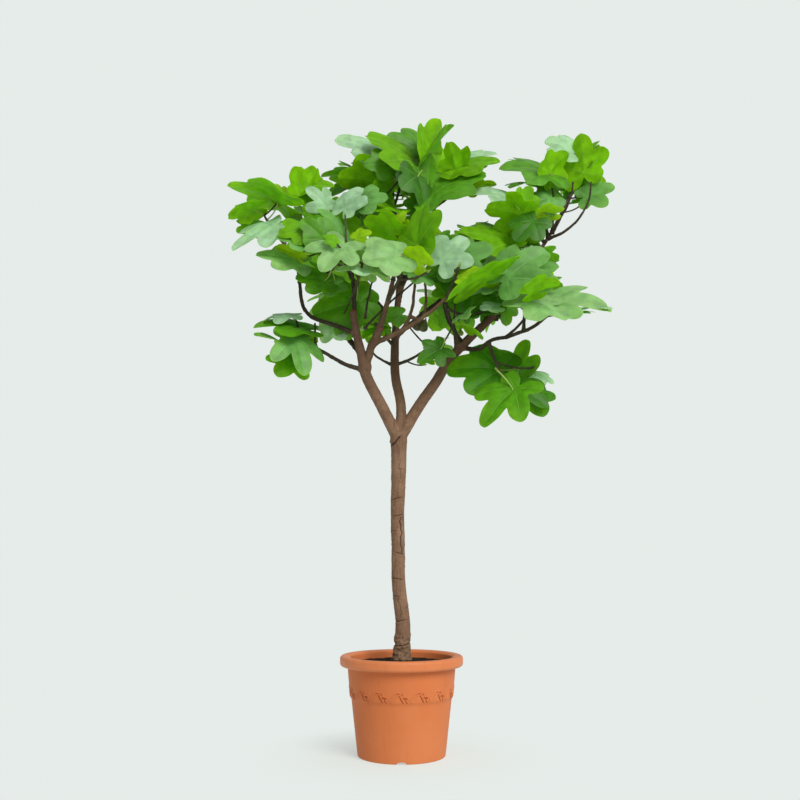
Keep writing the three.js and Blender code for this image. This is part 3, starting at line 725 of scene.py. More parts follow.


# Where the front view sees between the leaves, read off as pixels across and down in its frame, and a radius.
SKY = (
    (463, 212, 9), (485, 207, 6), (447, 216, 5), (378, 183, 2), (401, 205, 3), (560, 184, 3), (584, 218, 9),
    (545, 222, 2),
    (249, 208, 2), (276, 236, 3), (282, 292, 12), (310, 292, 4), (343, 327, 2), (337, 347, 8), (413, 298, 6),
    (411, 337, 4),
    (437, 333, 3), (427, 375, 9), (524, 320, 3), (543, 333, 8), (565, 270, 7), (583, 276, 8), (330, 168, 5),
    (598, 300, 3),
    (615, 320, 8), (596, 321, 4), (607, 316, 5), (578, 326, 4), (506, 152, 5), (300, 168, 6),
)


@dataclass(frozen=True)
class Mass:
    """One mass of foliage: where its stem grows from, its space, and what it bears."""

    limb: str
    along: float
    tip: tuple[int, int, int]
    space: tuple[int, int, int]
    leaves: int
    twigs: int
    blade: int
    turn: int


MASSES = {
    "left_tip": Mass("limb_left_far", 1, (-425, -70, 1605), (112, 120, 112), 6, 1, 155, 285),
    "left_low": Mass("limb_left_low", 1, (-325, -65, 1190), (98, 110, 95), 5, 1, 145, 120),
    "top_centre": Mass("limb_middle_right", 1, (95, 50, 1845), (120, 125, 125), 7, 1, 145, 345),
    "top_left": Mass("limb_middle_top", 1, (-100, 110, 1835), (130, 130, 120), 7, 1, 150, 255),
    "top_right": Mass("limb_middle_right", 0.85, (212, 20, 1765), (102, 115, 98), 6, 1, 145, 330),
    "right_tip": Mass("limb_right_up", 1, (580, 30, 1800), (135, 125, 120), 7, 1, 155, 30),
    "right_top": Mass("limb_right_up", 0.92, (430, 10, 1770), (115, 120, 115), 6, 0, 145, 45),
    "right_low_tip": Mass("limb_right_low", 1, (505, -140, 1290), (105, 110, 60), 4, 0, 150, 180),
    "right_hanging": Mass("limb_right_low", 0.35, (295, -130, 1085), (150, 115, 120), 8, 2, 160, 60),
    "left_top": Mass("limb_left_far", 0.85, (-295, 0, 1665), (135, 130, 125), 7, 1, 150, 90),
    "right_upper": Mass("limb_right_up", 0.85, (370, -60, 1630), (120, 125, 105), 6, 0, 145, 315),
    "inner_low": Mass("bough_middle", 0.4, (85, 50, 1215), (60, 70, 60), 2, 0, 85, 75),
    "left_front": Mass("limb_left_upright", 1, (-270, -190, 1485), (135, 130, 110), 7, 1, 150, 210),
    "right_front": Mass("limb_right_up", 0.2, (340, -190, 1390), (130, 130, 110), 6, 1, 160, 255),
    "centre_front": Mass("limb_left_inner", 0.85, (20, -255, 1420), (130, 130, 105), 6, 1, 150, 345),
    "centre_right": Mass("limb_left_cross", 1, (170, -250, 1400), (130, 130, 115), 6, 1, 160, 270),
    "left_centre": Mass("limb_left_upright", 0.55, (-115, -180, 1415), (120, 130, 110), 6, 0, 145, 60),
    "right_inner": Mass("limb_right_inner", 0.8, (195, -165, 1265), (100, 110, 90), 5, 0, 130, 135),
    "right_mid": Mass("limb_right_low", 0.72, (375, -85, 1355), (105, 110, 90), 5, 0, 140, 345),
    "centre": Mass("limb_left_inner", 1, (0, -90, 1565), (135, 130, 120), 7, 1, 150, 45),
    "right_centre": Mass("limb_right_up", 0.45, (275, 0, 1520), (130, 130, 120), 7, 1, 150, 255),
    "left_inner": Mass("bough_middle", 0.52, (-105, 50, 1325), (80, 90, 100), 4, 0, 120, 120),
    "back_left_top": Mass("limb_left_back", 1, (-210, 190, 1715), (140, 130, 130), 6, 1, 155, 270),
    "back_left": Mass("limb_middle_back_left", 1, (-225, 330, 1655), (150, 140, 130), 6, 1, 160, 345),
    "back_left_low": Mass("limb_left_back", 0.7, (-210, 230, 1450), (120, 130, 120), 6, 0, 150, 255),
    "back_top": Mass("limb_middle_top", 0.75, (0, 270, 1860), (130, 130, 120), 6, 1, 150, 150),
    "back_centre": Mass("limb_middle_back", 1, (30, 390, 1770), (150, 140, 140), 6, 1, 160, 105),
    "back_right_top": Mass("limb_middle_back_right", 1, (240, 320, 1615), (135, 140, 120), 6, 1, 155, 195),
    "back_low": Mass("limb_middle_back_right", 0.75, (175, 340, 1455), (110, 130, 110), 6, 0, 145, 285),
    "back_right": Mass("limb_right_back", 1, (420, 270, 1610), (125, 135, 110), 6, 1, 150, 150),
    "back_right_low": Mass("limb_right_back", 0.6, (350, 220, 1430), (135, 130, 110), 6, 0, 150, 150),
}


@dataclass(frozen=True)
class GrowthRule:
    """The sizes of the rule by which stems, twigs and leaves grow."""

    stem_most: float = 5.5
    stem_tip: float = 3.2
    knee: float = 0.55
    sag: float = 0.16
    twig_radius: float = 3.0
    twig_length: float = 105.0
    twig_first: float = 0.5
    twig_step: float = 0.2
    twig_along: float = 0.55
    twig_aside: float = 0.8
    twig_up: float = 0.25
    twig_sway: float = 20.0
    twig_tries: int = 8
    twig_leaves: int = 3
    twig_lowest: float = 0.55
    stalk_radius: float = 2.6
    thickness: float = 3.0
    tries: int = 60
    shrink: float = 0.004
    gap: float = 3.0
    own_gap: float = 1.0
    spare: int = 3
    lowest: float = 0.45
    ease: float = 1.32
    golden: float = 137.5
    spread: tuple[float, float] = (82, 30)
    droop: tuple[float, float] = (50, -40)
    stalk: tuple[float, float] = (0.46, 0.26)
    scale: tuple[float, float] = (1, 0.7)
    bays: tuple[float, float] = (0.48, 0.7)
    fold: float = 0.22
    arch: float = 0.3
    curl: float = 0.42
    blade: float = 150.0  # the length of leaf that twig_length is meant for
    regrown_size: float = 0.85  # leaves grown again, as a share of their mass's
    regrown_tries: int = 30
    fine_twigs: int = 3
    fine_first: float = 0.32
    fine_length: float = 62.0
    fine_radius: float = 2.3
    fine_size: float = 0.62
    fine_leaves: int = 4
    fine_tries: int = 24
    touch: float = 2.5  # how near its shoot a stalk or twig springs
    trim_steps: int = 120
    shortest: float = 0.05  # the share of a shoot that is worth keeping
    past_leaf: float = 6.0  # how far a shoot goes on past its last leaf
    placed_tries: int = 40
    placed_depth: tuple[float, float] = (70, 3.5)  # how far a placed leaf may stray at most, and more by each try
    placed_roll: float = 14
    placed_pitch: tuple[float, float] = (0.25, 0.01)
    seat_first: float = 0.35
    seats: int = 14
    seat_stalk: float = 0.42  # a placed leaf's stalk as a share of its blade
    seat_turn: float = 30.0  # how much a stalk that springs the wrong way counts, in millimetres
    seat_reach: float = 0.75  # the longest stalk without a twig
    spur: tuple[float, float] = (2.8, 2.4)


RULE = GrowthRule()
# The first seeds of the random draws.
TWIG_SEED = 1000
LEAF_SEED = 9000
LEAF_SEED_STEP = 17
PLACED_SEED = 300
REGROWN_SEED = 7000
FINE_SEED = 5000
SWAY = {
    "turn": (14, 4), "spread": (8, 1), "length": (0.12, 0), "stalk": (0.2, 0.01), "droop": (16, 1),
    "roll": (24, 1.25),
}
LOBES = ((10, 0.97), (28, None), (42, 0.87), (60, 0.83), (79, None), (107, 0.6), (147, 0.43))
NOTCH = 0.1
UP = np.array([0.0, 0.0, 1.0])
EAST = np.array([1.0, 0.0, 0.0])


class Seeded:
    """A seeded generator of numbers from 0 to 1, the same as that of the solids."""

    def __init__(self, seed: int) -> None:
        """Starts from a seed."""
        self.state = seed & 0xFFFFFFFF

    def __call__(self) -> float:
        """Gives the next number."""
        mask = 0xFFFFFFFF
        self.state = (self.state + 0x6D2B79F5) & mask
        t = ((self.state ^ (self.state >> 15)) * (self.state | 1)) & mask
        t ^= (t + ((t ^ (t >> 7)) * (t | 61) & mask)) & mask
        return ((t ^ (t >> 14)) & mask) / 4294967296


class Curve:
    """A smooth line through control points, or a stem's bent line, by a share of its way."""

    def __init__(self, points: Sequence[Sequence[float]], bent: bool = False) -> None:
        """Takes control points; a bent line has a start, a knee and a tip."""
        self.points = np.array([p[:3] for p in points], float)
        self.bent = bent

    def at(self, share: float) -> Array:
        """Gives the point a share of the way along."""
        p = self.points
        if self.bent:
            return (1 - share) ** 2 * p[0] + 2 * (1 - share) * share * p[1] + share**2 * p[2]
        place = (len(p) - 1) * share
        i = min(int(math.floor(place)), len(p) - 2)
        weight = place - i
        before = p[i - 1] if i > 0 else 2 * p[0] - p[1]
        after = p[i + 2] if i + 2 < len(p) else 2 * p[-1] - p[-2]
        a, b, c, d = before, p[i], p[i + 1], after
        d0, d1, d2 = (math.sqrt(np.linalg.norm(v)) for v in (b - a, c - b, d - c))
        t1 = ((b - a) / d0 - (c - a) / (d0 + d1) + (c - b) / d1) * d1
        t2 = ((c - b) / d1 - (d - b) / (d1 + d2) + (d - c) / d2) * d1
        return b + t1 * weight + (3 * (c - b) - 2 * t1 - t2) * weight**2 + (2 * (b - c) + t1 + t2) * weight**3

    def length(self) -> float:
        """Gives its length."""
        path = self.path(200)
        return float(np.linalg.norm(np.diff(path, axis=0), axis=1).sum())

    def path(self, steps: int) -> Array:
        """Gives points at even steps along it."""
        return np.array([self.at(k / steps) for k in range(steps + 1)])


@dataclass
class Run:
    """A run of wood: its curve, its radius by share, and rings at even steps."""

    curve: Curve
    radius_at: Callable[[float], float]
    owner: int = -1
    end: float = 1.0  # the share of the way where it is cut back

    def __post_init__(self) -> None:
        """Works out the rings."""
        count = max(2, int(math.floor(self.curve.length() / STATION_STEP + 0.5)))
        self.centres = self.curve.path(count)
        self.radii = np.array([self.radius_at(k / count) for k in range(count + 1)])

    def on(self, share: float) -> tuple[Array, Array, float]:
        """Gives the point, direction and radius a share of the way along the rings."""
        place = share * (len(self.centres) - 1)
        i = min(int(math.floor(place)), len(self.centres) - 2)
        a, b = self.centres[i], self.centres[i + 1]
        return a + (b - a) * (place - i), unit(b - a), float(
            eased(self.radii[i], self.radii[i + 1], place - i)
        )

    def stretches(self) -> Rods:
        """Gives the straight stretches between its rings."""
        return Rods(self.centres[:-1], self.centres[1:], np.maximum(self.radii[:-1], self.radii[1:]))


@dataclass
class Rods:
    """Straight rods, as arrays of their starts, ends and radii."""

    start: Array
    end: Array
    radius: Array

    @staticmethod
    def joined(parts: Sequence[Rods]) -> Rods:
        """Joins several sets into one."""
        if not parts:
            return Rods(np.zeros((0, 3)), np.zeros((0, 3)), np.zeros(0))
        return Rods(*(np.concatenate([getattr(p, key) for p in parts]) for key in ("start", "end", "radius")))

    def some(self, which: Array) -> Rods:
        """Gives the rods that a mask or numbers choose."""
        return Rods(self.start[which], self.end[which], self.radius[which])

    def apart(self, other: Rods, gap: float) -> bool:
        """Tells whether all of these keep a gap from all of the others."""
        if not len(self.start) or not len(other.start):
            return True
        u = (self.end - self.start)[:, None]
        v = (other.end - other.start)[None]
        w = self.start[:, None] - other.start[None]
        a, b, c = (u * u).sum(-1), (u * v).sum(-1), (v * v).sum(-1)
        d, e = (u * w).sum(-1), (v * w).sum(-1)
        spread = a * c - b * b
        s = np.where(spread > 1e-9, np.clip((b * e - c * d) / np.maximum(spread, 1e-12), 0, 1), 0)
        t = np.clip((b * s + e) / c, 0, 1)
        s = np.clip((b * t - d) / a, 0, 1)
        space = np.linalg.norm(w + s[..., None] * u - t[..., None] * v, axis=-1)
        return bool((space >= self.radius[:, None] + other.radius[None] + gap).all())

    def cross(self, triangles: Array) -> bool:
        """Tells whether the middle of any of these passes through any triangle."""
        if not len(self.start) or not len(triangles):
            return False
        along = (self.end - self.start)[:, None]
        corner = triangles[None, :, 0]
        ab = triangles[None, :, 1] - corner
        ac = triangles[None, :, 2] - corner
        across = np.cross(along, ac)
        scale = (ab * across).sum(-1)
        safe = np.where(np.abs(scale) < 1e-9, 1.0, scale)
        away = self.start[:, None] - corner
        u = (away * across).sum(-1) / safe
        turn = np.cross(away, ab)
        v = (along * turn).sum(-1) / safe
        t = (ac * turn).sum(-1) / safe
        hit = (np.abs(scale) >= 1e-9) & (u >= 0) & (u <= 1) & (v >= 0) & (u + v <= 1) & (t >= 0) & (t <= 1)
        return bool(hit.any())


@dataclass(eq=False)
class Leaf:
    """One leaf: its stalk, its blade's place and outline, and what the rule tests of it."""

    root: Array
    centre: Array
    midrib: Array
    normal: Array
    length: float
    bay: float
    rank: float
    owner: int
    green: Green | None = None

    def __post_init__(self) -> None:
        """Works out the outline, and the rods and triangles that stand for the leaf."""
        half = [(math.radians(angle), self.bay if far is None else far) for angle, far in LOBES]
        ring = [*half, (math.pi, NOTCH), *((-angle, far) for angle, far in reversed(half))]
        flat = np.array([(far * math.cos(angle), far * math.sin(angle)) for angle, far in ring])
        a, b = flat[:, :1], flat[:, 1:]
        rise = RULE.fold * np.abs(b) - RULE.curl * b * b - RULE.arch * a * np.abs(a)
        self.outline = self.centre + (a * self.midrib + b * self.across + rise * self.normal) * self.length
        following = np.roll(self.outline, -1, axis=0)
        ribs = self.outline[::2]
        half = RULE.thickness / 2
        start = np.concatenate([self.outline, np.broadcast_to(self.centre, ribs.shape)])
        end = np.concatenate([following, ribs])
        self.blade = Rods(start, end, np.full(len(start), half))
        stalk = Rods(self.root[None], self.centre[None], np.array([RULE.stalk_radius]))
        self.rods = Rods.joined([stalk, self.blade])
        self.triangles = np.stack(
            [np.broadcast_to(self.centre, following.shape), self.outline, following], axis=1,
        )

    def meets(self, other: Leaf) -> bool:
        """Tells whether this leaf passes through another or nearly touches it."""
        if np.linalg.norm(self.centre - other.centre) > self.length + other.length:
            return False
        if self.rods.cross(other.triangles) or other.rods.cross(self.triangles):
            return True
        return not self.blade.apart(other.blade, 0.5)

    def hides(self, shown: Leaf) -> bool:
        """Tells whether this leaf stands between the front view and the blade of another."""
        sight = shown.middle - FRONT.eye
        way = unit(sight)
        off = self.middle - FRONT.eye
        along = float(off @ way)
        aside = float(np.linalg.norm(off - along * way))
        return along < np.linalg.norm(sight) - 5 and aside < 0.5 * shown.length + 0.45 * self.length

    def veils(self, bare: Array) -> bool:
        """Tells whether the blade stands between the front view and any of some points."""
        sight = bare - FRONT.eye
        far = np.linalg.norm(sight, axis=1)
        way = sight / far[:, None]
        off = self.middle - FRONT.eye
        along = way @ off
        aside = np.linalg.norm(off - along[:, None] * way, axis=1)
        return bool(((along < far - 5) & (aside < 0.42 * self.length)).any())

    def fills(self, sky: Sequence[tuple[float, float, float]]) -> bool:
        """Tells whether the front view sees the leaf in any of some open places."""
        ring = FRONT.pixels(self.outline)
        following = np.roll(ring, -1, axis=0)
        rise = following[:, 1] - ring[:, 1]
        for across, down, radius in sky:
            if (np.linalg.norm(ring - (across, down), axis=1) < radius).any():
                return True
            spans = (ring[:, 1] > down) != (following[:, 1] > down)
            ahead = (following[:, 0] - ring[:, 0]) * (down - ring[:, 1])
            meet = ring[:, 0] + ahead / np.where(spans, rise, 1.0)
            if (spans & (across < meet)).sum() % 2:
                return True
        return False

    @property
    def across(self) -> Array:
        """The direction across the blade."""
        return np.cross(self.normal, self.midrib)

    @property
    def middle(self) -> Array:
        """The middle of the blade."""
        return self.centre + self.midrib * 0.4 * self.length


@dataclass(frozen=True)
class Placed:
    """A leaf of the crown's front that is put in its place before the rest grow round it.

    Its hub and its tip are read across and down in a window on the front view's frame, with a depth.
    """

    mass: str
    window: Window
    hub: tuple[int, int, int]
    tip: tuple[int, int, int]
    turn: int  # degrees about the midrib from facing the front, by way of facing up
    bay: float
    # how the leaf is lit in the view, as one of the greens of painted shade, painted sheen or painted light through
    # the blade
    green: Green

    @property
    def pixel(self) -> tuple[int, int]:
        """The pixel of the frame at which the hub is seen."""
        return self.window.pixel(*self.hub[:2])

    def ends(self) -> tuple[Array, Array]:
        """Gives the places of the hub and of the tip."""
        hub, tip = (FRONT.point(*self.window.pixel(*spot[:2]), spot[2]) for spot in (self.hub, self.tip))
        return hub, tip


PLACED = (
    Placed("left_tip", FRAME, (280, 202, -70), (231, 188, -90), 112, 0.70, Green.BRIGHT),
    Placed("left_tip", FRAME, (255, 209, -105), (229, 217, -120), 122, 0.72, Green.BRIGHT),
    Placed("left_tip", FRAME, (273, 226, -130), (236, 249, -160), 66, 0.50, Green.GREY),
    Placed("left_tip", TOP_LEFT, (615, 360, -90), (528, 200, -90), 40, 0.68, Green.YOUNG),
    Placed("left_top", FRAME, (304, 196, -30), (318, 168, -20), 150, 0.70, Green.BRIGHT),
    Placed("left_top", TOP_LEFT, (880, 240, -10), (1170, 215, 0), 66, 0.66, Green.BRIGHT),
    Placed("left_top", TOP_LEFT, (1100, 440, -60), (895, 250, -90), 35, 0.50, Green.GREY),
    Placed("left_front", TOP_LEFT, (880, 820, -190), (570, 770, -220), 66, 0.66, Green.SAGE),
    Placed("left_front", TOP_LEFT, (860, 690, -200), (610, 740, -220), 45, 0.66, Green.BRIGHT),
    Placed("left_front", TOP_LEFT, (1060, 770, -180), (850, 590, -190), 30, 0.70, Green.MID),
    Placed("left_front", FRAME, (295, 261, -150), (259, 256, -170), 62, 0.68, Green.PALE),
    Placed("left_front", TOP_LEFT, (780, 950, -160), (590, 860, -175), 132, 0.66, Green.YOUNG),
    Placed("left_centre", TOP_LEFT, (1250, 850, -215), (1045, 1105, -260), 30, 0.50, Green.PALE),
    Placed("left_centre", TOP_LEFT, (1250, 750, -165), (1015, 450, -180), 70, 0.54, Green.SAGE),
    Placed("left_centre", TOP_LEFT, (1290, 450, -90), (1445, 248, -80), 50, 0.66, Green.GREY),
    Placed("left_centre", TOP_LEFT, (1410, 760, -225), (1545, 700, -235), 45, 0.66, Green.YOUNG),
    Placed("left_centre", TOP_LEFT, (1175, 800, -220), (1080, 735, -225), 50, 0.68, Green.BRIGHT),
    Placed("top_left", FRAME, (418, 164, 50), (364, 137, 10), 70, 0.64, Green.BRIGHT),
    Placed("top_left", TOP, (800, 345, 75), (495, 215, 60), 45, 0.68, Green.MID),
    Placed("top_centre", FRAME, (430, 158, 40), (438, 123, 60), 124, 0.68, Green.BRIGHT),
    Placed("top_centre", TOP, (885, 395, 20), (1118, 100, 20), 102, 0.66, Green.BRIGHT),
    Placed("top_right", TOP, (1150, 530, 0), (1080, 288, -10), 155, 0.68, Green.BRIGHT),
    Placed("top_right", FRAME, (457, 168, 5), (498, 162, -10), 72, 0.64, Green.BRIGHT),
    Placed("top_right", FRAME, (461, 160, 30), (496, 154, 20), 68, 0.64, Green.GREY),
    Placed("top_centre", TOP, (940, 745, -30), (1412, 580, -40), 64, 0.68, Green.MID),
    Placed("right_upper", TOP, (1660, 790, -30), (1310, 745, -40), 72, 0.62, Green.GREY),
    Placed("top_left", TOP, (400, 640, 50), (42, 605, 30), 150, 0.68, Green.BRIGHT),
    Placed("top_left", FRAME, (384, 154, 80), (338, 141, 60), 68, 0.62, Green.GREY),
    Placed("top_left", FRAME, (388, 162, 75), (350, 153, 55), 72, 0.64, Green.BRIGHT),
    Placed("top_left", TOP, (510, 470, 40), (285, 480, 20), 40, 0.66, Green.MID),
    Placed("top_left", TOP, (720, 590, 30), (510, 470, 10), 48, 0.60, Green.GREY),
    Placed("top_centre", FRAME, (417, 176, -10), (424, 209, -25), 55, 0.62, Green.DEEP),
    Placed("top_centre", TOP, (800, 880, -10), (655, 830, -15), 30, 0.72, Green.DEEP),
    Placed("centre", TOP, (235, 830, -75), (495, 800, -95), 48, 0.70, Green.SAGE),
    Placed("centre", TOP, (500, 870, -70), (70, 905, -85), 74, 0.66, Green.BRIGHT),
    Placed("top_centre", TOP, (880, 690, 20), (900, 410, 30), 150, 0.62, Green.DEEP),
    Placed("top_left", TOP, (430, 830, 20), (560, 640, 30), 140, 0.70, Green.MID),
    Placed("right_tip", TOP_RIGHT, (1260, 575, -10), (1210, 148, 0), 160, 0.54, Green.BRIGHT),
    Placed("right_tip", TOP_RIGHT, (1090, 310, 20), (788, 185, 30), 55, 0.66, Green.GREY),
    Placed("right_tip", FRAME, (546, 172, 0), (502, 168, -30), 66, 0.62, Green.MID),
    Placed("right_tip", FRAME, (549, 173, -5), (567, 155, 5), 150, 0.70, Green.BRIGHT),
    Placed("right_top", TOP_RIGHT, (900, 770, -30), (548, 640, -50), 50, 0.68, Green.MID),
    Placed("right_top", TOP_RIGHT, (830, 880, -50), (590, 1010, -70), 40, 0.68, Green.SAGE),
    Placed("right_tip", TOP_RIGHT, (1150, 800, 0), (1245, 575, 10), 35, 0.70, Green.MID),
    Placed("right_tip", FRAME, (587, 196, -20), (614, 187, -40), 40, 0.58, Green.SAGE),
    Placed("right_upper", TOP_RIGHT, (510, 1090, -90), (85, 1010, -110), 150, 0.50, Green.BRIGHT),
    Placed("right_upper", TOP_RIGHT, (540, 950, -60), (610, 745, -60), 140, 0.70, Green.MID),
    Placed("right_upper", TOP_RIGHT, (640, 1170, -110), (430, 1400, -120), 35, 0.68, Green.DEEP),
    Placed("right_top", TOP_RIGHT, (880, 1060, -30), (640, 1060, -40), 110, 0.68, Green.YOUNG),
    Placed("centre_front", FRAME, (396, 256, -262), (363, 262, -292), 40, 0.72, Green.PALE),
    Placed("centre_front", FRAME, (418, 246, -225), (423, 209, -200), 52, 0.70, Green.BRIGHT),
    Placed("centre_front", FRAME, (421, 262, -275), (404, 249, -285), 150, 0.80, Green.YOUNG),
    Placed("centre_right", MIDDLE, (1010, 550, -280), (1258, 335, -265), 25, 0.54, Green.GREY),
    Placed("centre_right", FRAME, (443, 249, -165), (447, 231, -160), 40, 0.70, Green.MID),
    Placed("centre_right", MIDDLE, (1100, 550, -215), (1490, 440, -235), 50, 0.66, Green.SAGE),
    Placed("centre_front", MIDDLE, (815, 690, -170), (555, 650, -185), 60, 0.62, Green.SAGE),
    Placed("right_centre", MIDDLE, (1660, 380, -80), (1175, 270, -110), 66, 0.60, Green.BRIGHT),
    Placed("centre", MIDDLE, (500, 275, -130), (235, 150, -150), 140, 0.66, Green.BRIGHT),
    Placed("centre", MIDDLE, (550, 185, -120), (640, 72, -115), 60, 0.70, Green.YOUNG),
    Placed("centre_right", MIDDLE, (1200, 700, -240), (1385, 640, -245), 50, 0.66, Green.YOUNG),
    Placed("right_front", MIDDLE, (1500, 700, -255), (1062, 935, -300), 105, 0.56, Green.BRIGHT),
    Placed("centre_right", MIDDLE, (1150, 660, -190), (850, 725, -200), 35, 0.72, Green.DEEP),
    Placed("centre_right", MIDDLE, (1100, 840, -170), (905, 880, -180), 50, 0.70, Green.MID),
    Placed("right_front", FRAME, (507, 278, -205), (545, 253, -190), 32, 0.56, Green.SAGE),
    Placed("right_front", RIGHT, (660, 600, -170), (950, 455, -190), 50, 0.68, Green.SAGE),
    Placed("right_front", RIGHT, (680, 740, -230), (955, 640, -240), 125, 0.68, Green.BRIGHT),
    Placed("right_low_tip", FRAME, (551, 302, -150), (604, 307, -175), 63, 0.48, Green.PALE),
    Placed("right_low_tip", RIGHT, (848, 880, -225), (385, 870, -240), 58, 0.66, Green.PALE),
    Placed("right_low_tip", RIGHT, (855, 885, -165), (690, 785, -170), 50, 0.68, Green.YOUNG),
    Placed("right_front", RIGHT, (240, 705, -200), (0, 780, -210), 66, 0.62, Green.GREY),
    Placed("right_front", RIGHT, (300, 780, -150), (60, 960, -165), 35, 0.70, Green.DEEP),
    Placed("right_inner", RIGHT, (290, 910, -160), (110, 935, -165), 70, 0.68, Green.GREY),
    Placed("right_mid", RIGHT, (330, 860, -20), (410, 1110, -10), 40, 0.68, Green.MID),
    Placed("left_low", FRAME, (303, 329, -75), (255, 327, -110), 75, 0.58, Green.MID),
    Placed("left_low", FRAME, (294, 338, -120), (304, 373, -150), 34, 0.46, Green.SAGE),
    Placed("left_low", FRAME, (298, 337, -60), (317, 341, -55), 30, 0.66, Green.MID),
    Placed("left_centre", LEFT, (1120, 330, -55), (682, 470, -75), 30, 0.66, Green.MID),
    Placed("left_centre", LEFT, (930, 560, -60), (760, 742, -70), 40, 0.68, Green.GREY),
    Placed("left_front", LEFT, (780, 110, -150), (476, 95, -165), 55, 0.68, Green.MID),
    Placed("left_front", LEFT, (900, 150, -130), (660, 190, -145), 50, 0.66, Green.SAGE),
    Placed("inner_low", LEFT, (1570, 470, 20), (1400, 520, 10), 30, 0.70, Green.MID),
    Placed("right_inner", HANGING, (400, 378, -120), (195, 495, -135), 20, 0.50, Green.DEEP),
    Placed("right_hanging", FRAME, (500, 370, -150), (449, 367, -165), 36, 0.64, Green.DEEP),
    Placed("right_hanging", FRAME, (517, 377, -95), (526, 343, -85), 56, 0.56, Green.MID),
    Placed("right_hanging", FRAME, (515, 389, -200), (485, 424, -215), 42, 0.50, Green.MID),
    Placed("right_hanging", HANGING, (1160, 740, -110), (1412, 955, -120), 55, 0.64, Green.DEEP),
    Placed("right_hanging", HANGING, (1330, 640, -60), (1500, 718, -60), 60, 0.64, Green.GREY),
    Placed("right_hanging", HANGING, (1145, 725, -135), (985, 690, -140), 40, 0.66, Green.MID),
)


@dataclass(frozen=True)
class Slot:
    """A place on a shoot where a leaf may grow."""

    shoot: Run
    place: float
    rank: float
    turn: float


